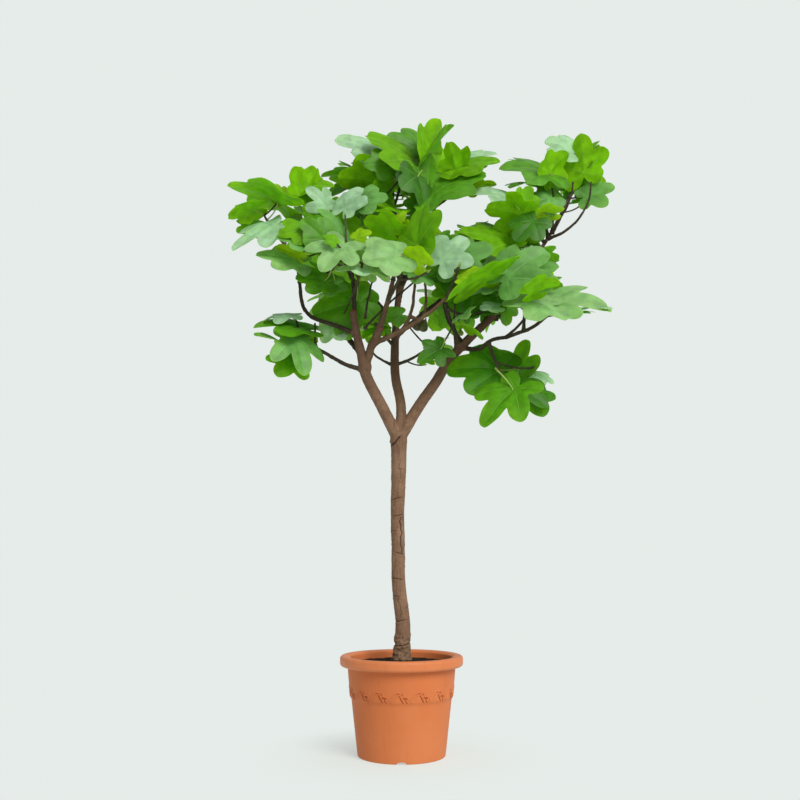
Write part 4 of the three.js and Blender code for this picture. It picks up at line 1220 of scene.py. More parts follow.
class Growth:
    """Grows the masses by the rule: first as the solids have them, then finer twigs and young leaves."""

    def __init__(self) -> None:
        """Sets up the wood and the masses' stems."""
        self.wood = {name: self._limb(points) for name, points in {"trunk": TRUNK, **BOUGHS, **LIMBS}.items()}
        self.names = list(MASSES)
        self.shoots: list[list[Run]] = [[self._stem(MASSES[name], i)] for i, name in enumerate(self.names)]
        self.runs: list[Run] = [*self.wood.values(), *(shoots[0] for shoots in self.shoots)]
        self.leaves: list[Leaf] = []
        self.shown: list[Leaf] = []
        self.bare = np.zeros((0, 3))
        self._gather()

    @staticmethod
    def _limb(points: Sequence[Sequence[float]]) -> Run:
        """Makes the run through control points with radii."""
        radii = [p[3] for p in points]
        return Run(
            Curve(points), lambda share: float(np.interp(share * (len(radii) - 1), range(len(radii)), radii)),
        )

    @staticmethod
    def _bent(start: Array, tip: Array, first: float, last: float, owner: int) -> Run:
        """Makes the run that leaves level and turns upwards."""
        reach = tip - start
        knee = start + reach * RULE.knee
        knee[2] -= RULE.sag * math.hypot(reach[0], reach[1])
        return Run(Curve([start, knee, tip], bent=True), lambda share: eased(first, last, share), owner)

    def _stem(self, mass: Mass, owner: int) -> Run:
        """Makes a mass's stem."""
        point, _, radius = self.wood[mass.limb].on(mass.along)
        return self._bent(point, np.array(mass.tip, float), min(radius, RULE.stem_most), RULE.stem_tip, owner)

    def _gather(self) -> None:
        """Joins all wood into arrays."""
        parts = [run.stretches() for run in self.runs]
        self.rods = Rods.joined(parts)
        self.owners = np.concatenate([np.full(len(p.start), run.owner) for p, run in zip(parts, self.runs)])

    def twig(self, index: int, place: float, turn: float, length: float, radius: float) -> Run:
        """Makes a side twig of a mass's stem."""
        point, way, _ = self.shoots[index][0].on(place)
        side = turned(unit(np.cross(way, UP)), way, turn)
        out = unit(way * RULE.twig_along + side * RULE.twig_aside + UP * RULE.twig_up)
        return self._bent(point, point + out * length, radius, radius, index)

    def grow_twig(self, index: int, k: int, place: float, size: float, radius: float, random: Seeded) -> None:
        """Adds a side twig if a try of it is clear of all else."""
        turn = MASSES[self.names[index]].turn
        for attempt in range(RULE.twig_tries):
            sway = RULE.twig_sway * (2 * attempt + 1) * (random() - 0.5)
            length = size * eased(0.85, 1.15, random())
            twig = self.twig(index, place, turn + RULE.golden * (k + 1) + sway, length, radius)
            parts = twig.stretches()
            if not parts.apart(self.rods.some(self.owners != index), RULE.gap):
                continue
            if not parts.apart(Rods.joined([leaf.rods for leaf in self.leaves]), RULE.gap):
                continue
            if self.leaves and parts.cross(np.concatenate([leaf.triangles for leaf in self.leaves])):
                continue
            self.shoots[index].append(twig)
            self.runs.append(twig)
            self._gather()
            return

    def slots(self, index: int) -> list[Slot]:
        """Gives the places for leaves on a mass's shoots, from the oldest up."""
        mass = MASSES[self.names[index]]
        stem, *twigs = self.shoots[index]
        most = mass.leaves + RULE.spare
        slots = []
        for i in range(most):
            rank = i / (most - 1)
            slots.append(Slot(stem, float(eased(RULE.lowest, 1, rank)), rank, mass.turn + RULE.golden * i))
        for k, twig in enumerate(twigs):
            slots.extend(self.twig_slots(twig, k, mass.turn))
        return slots

    @staticmethod
    def twig_slots(twig: Run, k: int, turn: float) -> list[Slot]:
        """Gives the places for leaves on a side twig."""
        slots = []
        for i in range(RULE.twig_leaves):
            rank = 0.3 + 0.5 * i / (RULE.twig_leaves - 1)
            slots.append(
                Slot(twig, float(eased(RULE.twig_lowest, 1, rank)), rank, turn + 90 * k + RULE.golden * i)
            )
        return slots

    @staticmethod
    def leaf(slot: Slot, size: float, random: Seeded, attempt: int, owner: int) -> Leaf:
        """Works out one try of the leaf at a slot."""

        def sway(key: str) -> float:
            """Strays by the amount for that quantity."""
            first, more = SWAY[key]
            return (random() * 2 - 1) * (first + more * attempt)

        root, axis, _ = slot.shoot.on(slot.place)
        side = unit(np.cross(axis, EAST if abs(axis[2]) > 0.9 else UP))
        side = turned(side, axis, slot.turn + sway("turn"))
        spread = math.radians(eased(*RULE.spread, slot.rank) + sway("spread"))
        stalk = axis * math.cos(spread) + side * math.sin(spread)
        length = size * eased(*RULE.scale, slot.rank) * (1 + sway("length"))
        reach = size * eased(*RULE.stalk, slot.rank) * (1 + sway("stalk"))
        centre = root + stalk * reach
        level = unit(np.array([stalk[0], stalk[1], 0.0]))
        droop = math.radians(eased(*RULE.droop, slot.rank) + sway("droop"))
        midrib = level * math.cos(droop) - UP * math.sin(droop)
        normal = turned(unit(UP - midrib * midrib[2]), midrib, sway("roll"))
        return Leaf(
            root, centre, midrib, normal, length, float(eased(*RULE.bays, random())), slot.rank, owner,
        )

    def seat(self, index: int, centre: Array, way: Array, length: float) -> tuple[Array, Run | None]:
        """Finds where a placed leaf's stalk springs from, with a short twig where no shoot is near."""
        best = (math.inf, centre)
        for shoot in self.shoots[index]:
            for share in np.linspace(RULE.seat_first, 1, RULE.seats):
                point, _, _ = shoot.on(float(share))
                gap = float(np.linalg.norm(centre - point))
                turn = float(np.dot(unit(centre - point), way))
                worse = abs(gap - RULE.seat_stalk * length) + RULE.seat_turn * (1 - turn)
                best = min(best, (worse, point), key=lambda item: item[0])
        root = best[1]
        gap = float(np.linalg.norm(centre - root))
        if gap <= RULE.seat_reach * length:
            return root, None
        tip = centre - (centre - root) / gap * RULE.seat_stalk * length
        return tip, self._bent(root, tip, *RULE.spur, index)

    def place(self, placed: Placed) -> int:
        """Puts a leaf where it is told to be, on the mass's nearest shoot, and clears those in its way.

        Args:
            placed: where the leaf is and how it lies.

        Returns:
            How many leaves it took the place of.
        """
        index = self.names.index(placed.mass)
        hub, tip = placed.ends()
        way = unit(tip - hub)
        length = float(np.linalg.norm(tip - hub)) / math.hypot(1, RULE.arch)
        random = Seeded(PLACED_SEED + sum(placed.pixel))
        fewest, chosen = math.inf, None
        far, further = RULE.placed_depth
        steep, steeper = RULE.placed_pitch
        for attempt in range(RULE.placed_tries):
            depth = (random() * 2 - 1) * min(far, further * attempt)
            roll = (random() * 2 - 1) * min(RULE.placed_roll, attempt)
            pitch = (random() * 2 - 1) * min(steep, steeper * attempt)
            sight = hub - FRONT.eye
            centre = hub + sight * depth / np.linalg.norm(sight)
            aim = unit(way + np.array([0.0, pitch, 0.0]))
            front = unit(aim * np.dot(sight, aim) - sight)
            above = np.cross(aim, front)
            face = turned(front, aim if above[2] >= 0 else -aim, placed.turn + roll)
            midrib, normal = unit(aim + face * RULE.arch), unit(face - aim * RULE.arch)
            root, twig = self.seat(index, centre, aim, length)
            leaf = Leaf(root, centre, midrib, normal, length, placed.bay, 0.5, index, placed.green)
            met = sum(other.green is not None and leaf.meets(other) for other in self.leaves)
            met += 2 * self.rods.cross(leaf.triangles)
            if met < fewest:
                fewest, chosen = met, (leaf, twig)
            if not met:
                break
        leaf, twig = chosen
        if fewest:
            log.info("placed leaf at %s meets %d others", placed.pixel, fewest)
        if twig:
            self.shoots[index].append(twig)
            self.runs.append(twig)
            self._gather()
        kept = [other for other in self.leaves if other.green or not (leaf.meets(other) or other.hides(leaf))]
        cleared = len(self.leaves) - len(kept)
        self.leaves = [*kept, leaf]
        self.shown.append(leaf)
        return cleared

    def fits(self, leaf: Leaf, space: Mass) -> bool:
        """Tells whether a leaf stays in its mass's space, clear of all the wood and leaves so far."""
        share = (leaf.outline - space.tip) / (np.array(space.space) * RULE.ease)
        if (np.linalg.norm(share, axis=1) >= 1).any():
            return False
        near = np.linalg.norm(self.rods.start - leaf.centre, axis=1) <= leaf.length + 2 * STATION_STEP
        own = self.owners == leaf.owner
        if not leaf.rods.apart(self.rods.some(near & ~own), RULE.gap):
            return False
        if not leaf.blade.apart(self.rods.some(near & own), RULE.own_gap):
            return False
        if self.rods.some(near).cross(leaf.triangles):
            return False
        for mine in (True, False):
            others = [
                other for other in self.leaves
                if (other.owner == leaf.owner) == mine
                and np.linalg.norm(other.centre - leaf.centre) <= other.length + leaf.length + STATION_STEP
            ]
            if not others:
                continue
            rods = Rods.joined([other.rods for other in others])
            edges = Rods.joined([other.blade for other in others]) if mine else rods
            if not (leaf.blade if mine else leaf.rods).apart(edges, RULE.own_gap if mine else RULE.gap):
                return False
            if leaf.rods.cross(
                np.concatenate([other.triangles for other in others])
            ) or rods.cross(leaf.triangles):
                return False
        return True

    def spoils(self, leaf: Leaf) -> bool:
        """Tells whether a leaf hides what the front view shows: open sky, bare wood or a placed leaf."""
        if not self.shown:
            return False
        return leaf.fills(SKY) or leaf.veils(self.bare) or any(leaf.hides(shown) for shown in self.shown)

    def grow_leaves(
        self, index: int, slots: Iterable[Slot], most: int, blade: float, tries: int, random: Seeded,
    ) -> int:
        """Grows leaves at slots until there are enough, and tells how many grew."""
        mass = MASSES[self.names[index]]
        grown = 0
        for slot in slots:
            for attempt in range(tries):
                if grown >= most:
                    return grown
                leaf = self.leaf(slot, blade * (1 - RULE.shrink * attempt), random, attempt, index)
                if self.fits(leaf, mass) and not self.spoils(leaf):
                    self.leaves.append(leaf)
                    grown += 1
                    break
        return grown

    def grow(self) -> None:
        """Grows all the masses as the solids have them, and then the finer twigs and young leaves."""
        for index, name in enumerate(self.names):
            mass = MASSES[name]
            random = Seeded(TWIG_SEED + index)
            length = RULE.twig_length * mass.blade / RULE.blade
            for k in range(mass.twigs):
                place = RULE.twig_first + RULE.twig_step * k
                self.grow_twig(index, k, place, length, RULE.twig_radius, random)
            slots = self.slots(index)[::-1]
            seeded = Seeded(LEAF_SEED + LEAF_SEED_STEP * index)
            self.grow_leaves(index, slots, mass.leaves, mass.blade, RULE.tries, seeded)
        log.info("leaves of the solids: %d", len(self.leaves))
        cleared = dict.fromkeys(range(len(self.names)), 0)
        for name, points in BRANCHLETS.items():
            spots = [(*FRONT.point(*CROWN.pixel(*spot), depth), radius) for *spot, depth, radius in points]
            self.wood[name] = self._limb(spots)
            self.runs.append(self.wood[name])
        self._gather()
        self.bare = np.vstack([self.wood[name].centres for name in (*BRANCHLETS, "bough_right")])
        rods = Rods.joined([self.wood[name].stretches() for name in BRANCHLETS])
        in_the_way = [
            leaf for leaf in self.leaves
            if rods.cross(leaf.triangles) or leaf.veils(self.bare) or leaf.fills(SKY)
        ]
        for leaf in in_the_way:
            cleared[leaf.owner] += 1
            self.leaves.remove(leaf)
        for placed in PLACED:
            cleared[self.names.index(placed.mass)] += self.place(placed)
        log.info("leaves cleared for placed ones: %d", sum(cleared.values()))
        for index, count in cleared.items():
            mass = MASSES[self.names[index]]
            slots = self.slots(index)[::-1]
            size = mass.blade * RULE.regrown_size
            self.grow_leaves(index, slots, count, size, RULE.regrown_tries, Seeded(REGROWN_SEED + index))
        for index, name in enumerate(self.names):
            mass = MASSES[name]
            random = Seeded(FINE_SEED + index)
            known = len(self.shoots[index])
            for k in range(RULE.fine_twigs):
                place = RULE.fine_first + RULE.twig_step * k
                self.grow_twig(index, k + 2, place, RULE.fine_length, RULE.fine_radius, random)
            grown = enumerate(self.shoots[index][known:])
            fine = [slot for k, twig in grown for slot in self.twig_slots(twig, k, mass.turn)]
            spare = self.slots(index)[: mass.leaves + RULE.spare]
            size = mass.blade * RULE.fine_size
            self.grow_leaves(index, fine[::-1] + spare, RULE.fine_leaves, size, RULE.fine_tries, random)
        for index in range(len(self.names)):
            self.trim(index)
        log.info("leaves in all: %d", len(self.leaves))

    def trim(self, index: int) -> None:
        """Cuts a mass's shoots back to their last leaf, and drops those that bear none."""
        roots = [leaf.root for leaf in self.leaves if leaf.owner == index]
        kept = []
        for shoot in self.shoots[index]:
            path = shoot.curve.path(RULE.trim_steps)
            springs = [other.curve.points[0] for other in self.shoots[index] if other is not shoot]
            nears = [np.linalg.norm(path - place, axis=1) for place in (*roots, *springs)]
            ends = [int(near.argmin()) for near in nears if near.min() < RULE.touch]
            last = max(ends, default=0) / RULE.trim_steps
            if last > RULE.shortest:
                shoot.end = min(1.0, last + RULE.past_leaf / shoot.curve.length())
                kept.append(shoot)
        self.shoots[index] = kept


# ---------------------------------------------------------------- leaves as meshes
class BladePattern:
    """The faces that every blade shares: rings about the stalk, with narrow strips for the ribs."""

    RIBS = (0, 51, 118)  # degrees from the midrib
    COLUMNS = (17, 17, 12)  # points of the outline from one rib to the next
    RINGS = (0.26, 0.52, 0.78, 1.0)

    def __init__(self) -> None:
        """Works out the faces of both sides."""
        self.rib_columns: list[tuple[int, int]] = []
        right = []
        column = 0
        for _, count in zip(self.RIBS, self.COLUMNS):
            right.append(column)
            column += 1 + count
        # Columns run from just right of the midrib, round by the notch, to just left of it.
        self.half = column
        kinds: list[tuple[str, int, float]] = []
        for i, count in enumerate(self.COLUMNS):
            if i:
                kinds.append(("rib", i, -1.0))
            kinds.append(("rib", i, 1.0))
            kinds.extend(("edge", i, (j + 1) / (count + 1)) for j in range(count))
        mirrored = [(kind, i, share) for kind, i, share in reversed(kinds)]
        if kinds[-1][2] >= 1 - 1e-9:
            mirrored = mirrored[1:]
        self.kinds = [(1, *k) for k in kinds] + [(-1, *k) for k in mirrored]
        self.count = len(self.kinds)
        n, rings = self.count, len(self.RINGS)
        j = np.arange(n)
        following = (j + 1) % n
        fan = np.stack([np.zeros(n, int), 1 + j, 1 + following], axis=1)
        bands = 1 + ring_bands(rings, n)
        ribs = []
        for i in range(n):
            a, b = self.kinds[i], self.kinds[(i + 1) % n]
            ribs.append(a[1] == "rib" and b[1] == "rib" and a[2] == b[2])
        ribs = np.array(ribs)
        self.size = 1 + rings * n
        lower = self.size
        self.top = [(fan[~ribs], 0), (bands[~np.tile(ribs, rings - 1)], 0)]
        self.top_ribs = [(fan[ribs], 2), (bands[np.tile(ribs, rings - 1)], 2)]
        self.under = [((rows + lower)[:, ::-1], 1) for rows, _ in self.top]
        self.under_ribs = [((rows + lower)[:, ::-1], 2) for rows, _ in self.top_ribs]
        rim = self.size - n
        edge = np.stack([rim + j, rim + lower + j, rim + lower + following, rim + following], axis=1)
        self.edge = [(edge, 1)]
        self.rim = np.zeros(2 * self.size, bool)
        self.rim[rim : self.size] = True
        self.rim[rim + lower :] = True


@dataclass(frozen=True)
class BladeShape:
    """What makes one blade differ from the next."""

    wave: float  # how far the edge undulates
    phase: float
    lean: tuple[float, ...]  # how much longer each lobe is, from -1 to 1
    teeth: float  # depth of the margin's scallops
    cup: float

    @staticmethod
    def of(random: np.random.Generator) -> BladeShape:
        """Draws one by chance."""
        teeth = random.uniform(0.003, 0.007) if random.random() < 0.5 else random.uniform(0.01, 0.02)
        return BladeShape(
            random.uniform(0.012, 0.05), random.uniform(0, 6.28), tuple(random.uniform(-1, 1, 6)), teeth,
            random.uniform(-0.12, 0.16),
        )


@dataclass(frozen=True)
class Lobe:
    """A lobe of the blade, as a blunt oval on an axis from the stalk, for a blade of length one."""

    reach: float
    start: float  # its middle, from the stalk
    narrow: float  # half its width where the bays are deepest
    broad: float  # and where they are shallowest
    play: float  # how much its reach varies


class BladeMaker:
    """Shapes blades: blunt lobes with bays between them, folded, arched and quilted between the ribs."""

    LOBES = (
        Lobe(1.0, 0.64, 0.26, 0.34, 0.05), Lobe(0.92, 0.56, 0.24, 0.33, 0.1),
        Lobe(0.64, 0.36, 0.19, 0.27, 0.14),
    )
    thickness = 1.3
    rib_width = (0.0075, 0.002)

    def __init__(self) -> None:
        """Prepares the shared pattern of faces."""
        self.pattern = BladePattern()
        self.angles = np.radians(np.linspace(0, 180, 361))

    def reach(self, bay: float, shape: BladeShape, side: int) -> Array:
        """Works out the outline of one half as reach by angle, from the tip round to the notch."""
        angles = self.angles
        share = (bay - RULE.bays[0]) / (RULE.bays[1] - RULE.bays[0])
        power, blunt = 18, 2 / 2.3
        total = np.full_like(angles, bay * 0.88) ** power
        turn = np.linspace(0, math.pi * 0.8, 90)
        for i, (axis, lobe) in enumerate(zip(self.pattern.RIBS, self.LOBES)):
            far = lobe.reach * (1 + lobe.play * shape.lean[i if side > 0 or i == 0 else i + 2]) - lobe.start
            wide = eased(lobe.narrow, lobe.broad, share)
            u = lobe.start + far * np.sign(np.cos(turn)) * np.abs(np.cos(turn)) ** blunt
            v = wide * np.abs(np.sin(turn)) ** blunt
            polar = np.arctan2(v, u)
            last = int(polar.argmax()) + 1
            for mirror in (1, -1) if i == 0 else (1,):
                off = np.abs(angles - math.radians(axis) * mirror)
                total = total + np.interp(off, polar[:last], np.hypot(u, v)[:last], right=0) ** power
        reach = total ** (1 / power)
        cut = np.exp(-(((np.degrees(angles) - 180) / 21) ** 2))
        reach = reach * (1 - cut) + 0.1 * cut
        arcs = np.hypot(np.diff(reach), 0.5 * (reach[1:] + reach[:-1]) * np.diff(angles))
        steps = np.concatenate([[0], np.cumsum(arcs)])
        return reach * (1 + shape.teeth * np.sin(steps * 16 + shape.phase * side) * (1 - cut) / reach)

    def flat(self, leaf: Leaf, shape: BladeShape) -> tuple[Array, Array]:
        """Gives the flat places of a blade's points, of length one, as along and across."""
        kinds = self.pattern.kinds
        outline = np.zeros((len(kinds), 2))
        ribs = np.full(len(kinds), -1.0)
        reaches = {side: self.reach(leaf.bay, shape, side) for side in (1, -1)}
        ends = (*self.pattern.RIBS, 180)
        for side in (1, -1):
            reach = reaches[side]
            curve = np.stack([reach * np.cos(self.angles), reach * np.sin(self.angles)], axis=1)
            steps = travelled(curve)
            for at, (which, kind, i, share) in enumerate(kinds):
                if which != side:
                    continue
                if kind == "rib":
                    angle = math.radians(ends[i])
                    far = float(np.interp(angle, self.angles, reach))
                    outline[at] = far * math.cos(angle), far * math.sin(angle) * side
                    ribs[at] = share * side
                else:
                    low, high = (
                        np.interp(math.radians(e), self.angles, steps) for e in (ends[i], ends[i + 1])
                    )
                    place = eased(low, high, share)
                    along, beside = (np.interp(place, steps, curve[:, k]) for k in (0, 1))
                    outline[at] = along, beside * side
        rib = np.array([kind == "rib" for _, kind, _, _ in kinds])
        way = unit(outline)
        beside = np.stack([-way[:, 1], way[:, 0]], axis=1) * np.where(rib, ribs, 0)[:, None]
        rings = [np.zeros((1, 2))]
        for share in self.pattern.RINGS:
            wide = eased(*self.rib_width, share)
            rings.append(outline * share + beside * wide)
        flat = np.concatenate(rings)
        near_rim = np.concatenate([[0.0], np.repeat(self.pattern.RINGS, len(kinds))])
        return flat, near_rim

    def rise(self, flat: Array, near_rim: Array, shape: BladeShape) -> Array:
        """Works out how far each point of a blade of length one stands above its flat plane."""
        a, b = flat[:, 0], flat[:, 1]
        soft = np.sqrt(b * b + 0.0009) - 0.03
        rise = RULE.fold * soft - (RULE.curl - shape.cup) * b * b - RULE.arch * a * np.abs(a)
        far = np.hypot(a, b)
        angle = np.degrees(np.abs(np.arctan2(b, a)))
        off = np.min([np.abs(angle - rib) for rib in self.pattern.RIBS], axis=0)
        beside = far * np.sin(np.radians(np.minimum(off, 60)))
        rise += 0.16 * np.minimum(beside, 0.16) * (1 - 0.35 * near_rim)
        turn = np.arctan2(b, a)
        rise += shape.wave * near_rim**3 * far * np.sin(5 * turn + shape.phase)
        return rise

    def points(self, leaf: Leaf, shape: BladeShape) -> Array:
        """Places the points of a blade's two sides."""
        flat, near_rim = self.flat(leaf, shape)
        rise = self.rise(flat, near_rim, shape)
        offset = flat[:, :1] * leaf.midrib + flat[:, 1:] * leaf.across + rise[:, None] * leaf.normal
        placed = leaf.centre + offset * leaf.length
        thick = eased(self.thickness, 0.7, near_rim)[:, None] / 2 * leaf.normal
        return np.concatenate([placed + thick, placed - thick])


# The greens each mass deals out, by how its leaves are lit: painted shade for inner and hanging masses, painted
# sheen and painted light through the blade for the outer ones.
TINTS = {
    "left_tip": (Green.BRIGHT, Green.BRIGHT, Green.GREY),
    "left_low": (Green.MID, Green.GREY, Green.MID),
    "top_centre": (Green.BRIGHT, Green.MID),
    "top_left": (Green.BRIGHT, Green.GREY, Green.MID),
    "top_right": (Green.BRIGHT, Green.MID, Green.GREY),
    "right_tip": (Green.BRIGHT, Green.GREY),
    "right_top": (Green.MID, Green.BRIGHT),
    "right_low_tip": (Green.PALE, Green.GREY),
    "right_hanging": (Green.DEEP, Green.MID),
    "left_top": (Green.MID, Green.GREY, Green.BRIGHT),
    "right_upper": (Green.MID, Green.GREY),
    "inner_low": (Green.DEEP,),
    "left_front": (Green.BRIGHT, Green.GREY),
    "right_front": (Green.GREY, Green.MID),
    "centre_front": (Green.PALE, Green.GREY),
    "centre_right": (Green.GREY, Green.YOUNG),
    "left_centre": (Green.GREY, Green.PALE, Green.BRIGHT),
    "right_inner": (Green.MID, Green.DEEP),
    "right_mid": (Green.MID, Green.BRIGHT),
    "centre": (Green.BRIGHT, Green.YOUNG, Green.MID),
    "right_centre": (Green.MID, Green.BRIGHT),
    "left_inner": (Green.DEEP, Green.MID),
}


@dataclass
class Crown:
    """The foliage: leaves on stalks, their twigs, and buds at the tips."""

    growth: Growth
    REGIONS = {
        "left": ("left_tip", "left_low", "left_top", "left_front", "left_centre", "left_inner"),
        "middle": (
            "top_centre", "top_left", "top_right", "inner_low", "centre_front", "centre_right", "centre",
        ),
        "right": (
            "right_tip", "right_top", "right_low_tip", "right_hanging", "right_upper", "right_front",
            "right_inner",
            "right_mid", "right_centre",
        ),
        "back": (
            "back_left_top", "back_left", "back_left_low", "back_top", "back_centre", "back_right_top",
            "back_low",
            "back_right", "back_right_low",
        ),
    }

    def deal(self, leaf: Leaf, random: np.random.Generator) -> Green:
        """Chooses a leaf's green, a lit or shaded copy that paints shade, sheen or light through the blade, by its
        mass, its age and by chance.
        """
        if leaf.green:
            return leaf.green
        own = TINTS.get(self.growth.names[leaf.owner], (Green.DEEP, Green.MID, Green.GREY))
        if leaf.length < 75:
            own = (Green.YOUNG, Green.BRIGHT, Green.BRIGHT, Green.PALE)
        elif random.random() < 0.3:
            own = (Green.DEEP, Green.MID, Green.GREY, Green.BRIGHT, Green.BRIGHT)
        return own[int(random.random() * len(own))]

    def build_leaves(self) -> None:
        """Builds the leaves of each region of the crown as one piece."""
        maker = BladeMaker()
        pattern = maker.pattern
        greens = list(Green)
        materials = []
        # A top and an underside material for each green: lit and shaded copies that paint shade, sheen and light
        # through the blade.
        for green in greens:
            for side, colour in zip(("top", "underside"), green.value):
                rough, gloss = (0.46, 0.26) if side == "top" else (0.6, 0.15)
                if green in (Green.BRIGHT, Green.YOUNG):
                    rough, gloss = 0.55, 0.1
                materials.append(
                    LeafFinish(f"leaf_{green.name.lower()}_{side}", colour, rough, gloss).material()
                )
            rib = tuple(round(eased(c, pale, 0.34)) for c, pale in zip(green.value[0], (200, 224, 160)))
            materials.append(SoftFinish(f"leaf_{green.name.lower()}_rib", rib, rib).material())
        materials.append(SoftFinish("leaf_stalk", (146, 184, 84), (166, 178, 96)).material())
        stalk = len(materials) - 1
        for region, names in self.REGIONS.items():
            sheaf = Sheaf()
            owners = {self.growth.names.index(name) for name in names}
            random = np.random.default_rng(31 + len(region))
            for leaf in self.growth.leaves:
                if leaf.owner not in owners:
                    continue
                shape = BladeShape.of(random)
                first = 3 * greens.index(self.deal(leaf, random))
                slots = {0: first, 1: first + 1, 2: first + 2}
                faces = pattern.top + pattern.under + pattern.top_ribs + pattern.under_ribs + pattern.edge
                sheaf.add(
                    maker.points(leaf, shape), [(rows, slots[kind]) for rows, kind in faces], pattern.rim,
                )
                points, faces = self.stalk(leaf)
                sheaf.add(points, [(rows, stalk) for rows, _ in faces])
            piece = sheaf.build(f"leaves_{region}", materials, "foliage")
            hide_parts(*(f"leaf_mass_{name}" for name in names))

    @staticmethod
    def stalk(leaf: Leaf) -> tuple[Array, list[tuple[Array, int]]]:
        """Makes a leaf's stalk, which bends into the midrib under the blade."""
        under = leaf.centre - leaf.normal * 1.2
        bend = leaf.root + (under - leaf.root) * 0.72
        bend = bend - leaf.midrib * 0.05 * leaf.length - UP * 0.03 * leaf.length
        path = Curve([leaf.root, bend, under + leaf.midrib * 0.06 * leaf.length], bent=True).path(7)
        thick = min(1.0, leaf.length / 120)
        return rod(
            path, np.interp(np.linspace(0, 1, 8), [0, 0.12, 0.85, 1], [3.0, 2.2, 1.8, 1.1]) * thick, sides=6,
        )

    def build_twigs(self) -> None:
        """Builds the stems and twigs that bear the leaves, with their buds."""
        sheaf = Sheaf()
        for shoots in self.growth.shoots:
            for number, run in enumerate(shoots):
                length = run.curve.length() * run.end
                steps = max(5, int(length / 7))
                shares = np.linspace(0, 1, steps + 1)
                path = np.array([run.curve.at(share) for share in shares * run.end])
                radii = np.array([run.radius_at(s) for s in shares])
                knots = 1 + 0.16 * np.exp(-(((shares * length / 24 + 0.31 * number) % 1 - 0.5) / 0.13) ** 2)
                flare = 1 + 0.55 * np.exp(-shares * length / 7)
                points, faces = rod(path, radii * knots * flare, sides=8)
                sheaf.add(points, [(rows, 0) for rows, _ in faces])
                way = unit(path[-1] - path[-2])
                bud = path[-1] + np.outer(np.linspace(-2, 15, 7), way)
                points, faces = rod(
                    bud, np.array([2.6, 3.6, 3.9, 3.4, 2.5, 1.3, 0.3]) * radii[-1] / 3.2, sides=8,
                )
                sheaf.add(points, [(rows, 1) for rows, _ in faces])
        twig = BarkFinish("twig_bark", (66, 60, 42), (92, 88, 60), (34, 30, 24), relief=0.4).material()
        bud = SoftFinish("bud", (146, 168, 60), (120, 150, 52)).material()
        sheaf.build("twigs", [twig, bud], "bark")


@dataclass(frozen=True)
class Fig:
    """A young fig: where its stalk is seen to spring from, its length, how it hangs, and if it is ripening."""

    top: tuple[int, int, int]
    length: float
    aim: tuple[float, float, float]
    ripe: bool


@dataclass
class Figs:
    """The young figs, as pear shapes with a stalk, ribs and an eye."""

    fruit: tuple[Fig, ...] = (
        Fig((426, 318, 20), 46, (-0.3, 0.0, -1.0), True), Fig((424, 317, 30), 52, (-0.75, -0.1, -1.0), True),
        Fig((460, 328, -30), 27, (0.1, -0.3, -1.0), False),
    )
    # The radius and the place along a fig of length one, from its stalk to its eye.
    pear: tuple[tuple[float, float], ...] = (
        (0.045, 0), (0.05, 0.08), (0.1, 0.17), (0.17, 0.3), (0.25, 0.45), (0.31, 0.6), (0.33, 0.72),
        (0.29, 0.86), (0.19, 0.95),
        (0.08, 0.985), (0.05, 0.97),
    )

    def build(self) -> None:
        """Builds the figs as one piece."""
        sheaf = Sheaf()
        radius, place = np.array(self.pear).T
        for fig in self.fruit:
            way = unit(np.array(fig.aim))
            path = FRONT.point(*fig.top) + np.outer(place * fig.length, way)
            ways = np.outer(np.arange(len(path)), way)
            points, faces = rod(ways, radius * fig.length, sides=24)
            points[:-2] += np.repeat(path - ways, 24, axis=0)
            points[-2:] += (path - ways)[[0, -1]]
            ribs = 1 + 0.03 * np.cos(np.arange(24) * math.pi)
            centre = np.repeat(path, 24, axis=0)
            points[:-2] = centre + (points[:-2] - centre) * np.tile(ribs, len(path))[:, None]
            sheaf.add(points, [(rows, int(not fig.ripe)) for rows, _ in faces])
        skin = SoftFinish("fig_skin", (66, 62, 22), (84, 92, 30), 0.45).material()
        green = SoftFinish("fig_green", (142, 170, 62), (112, 148, 40), 0.45).material()
        sheaf.build("figs", [skin, green], "foliage")


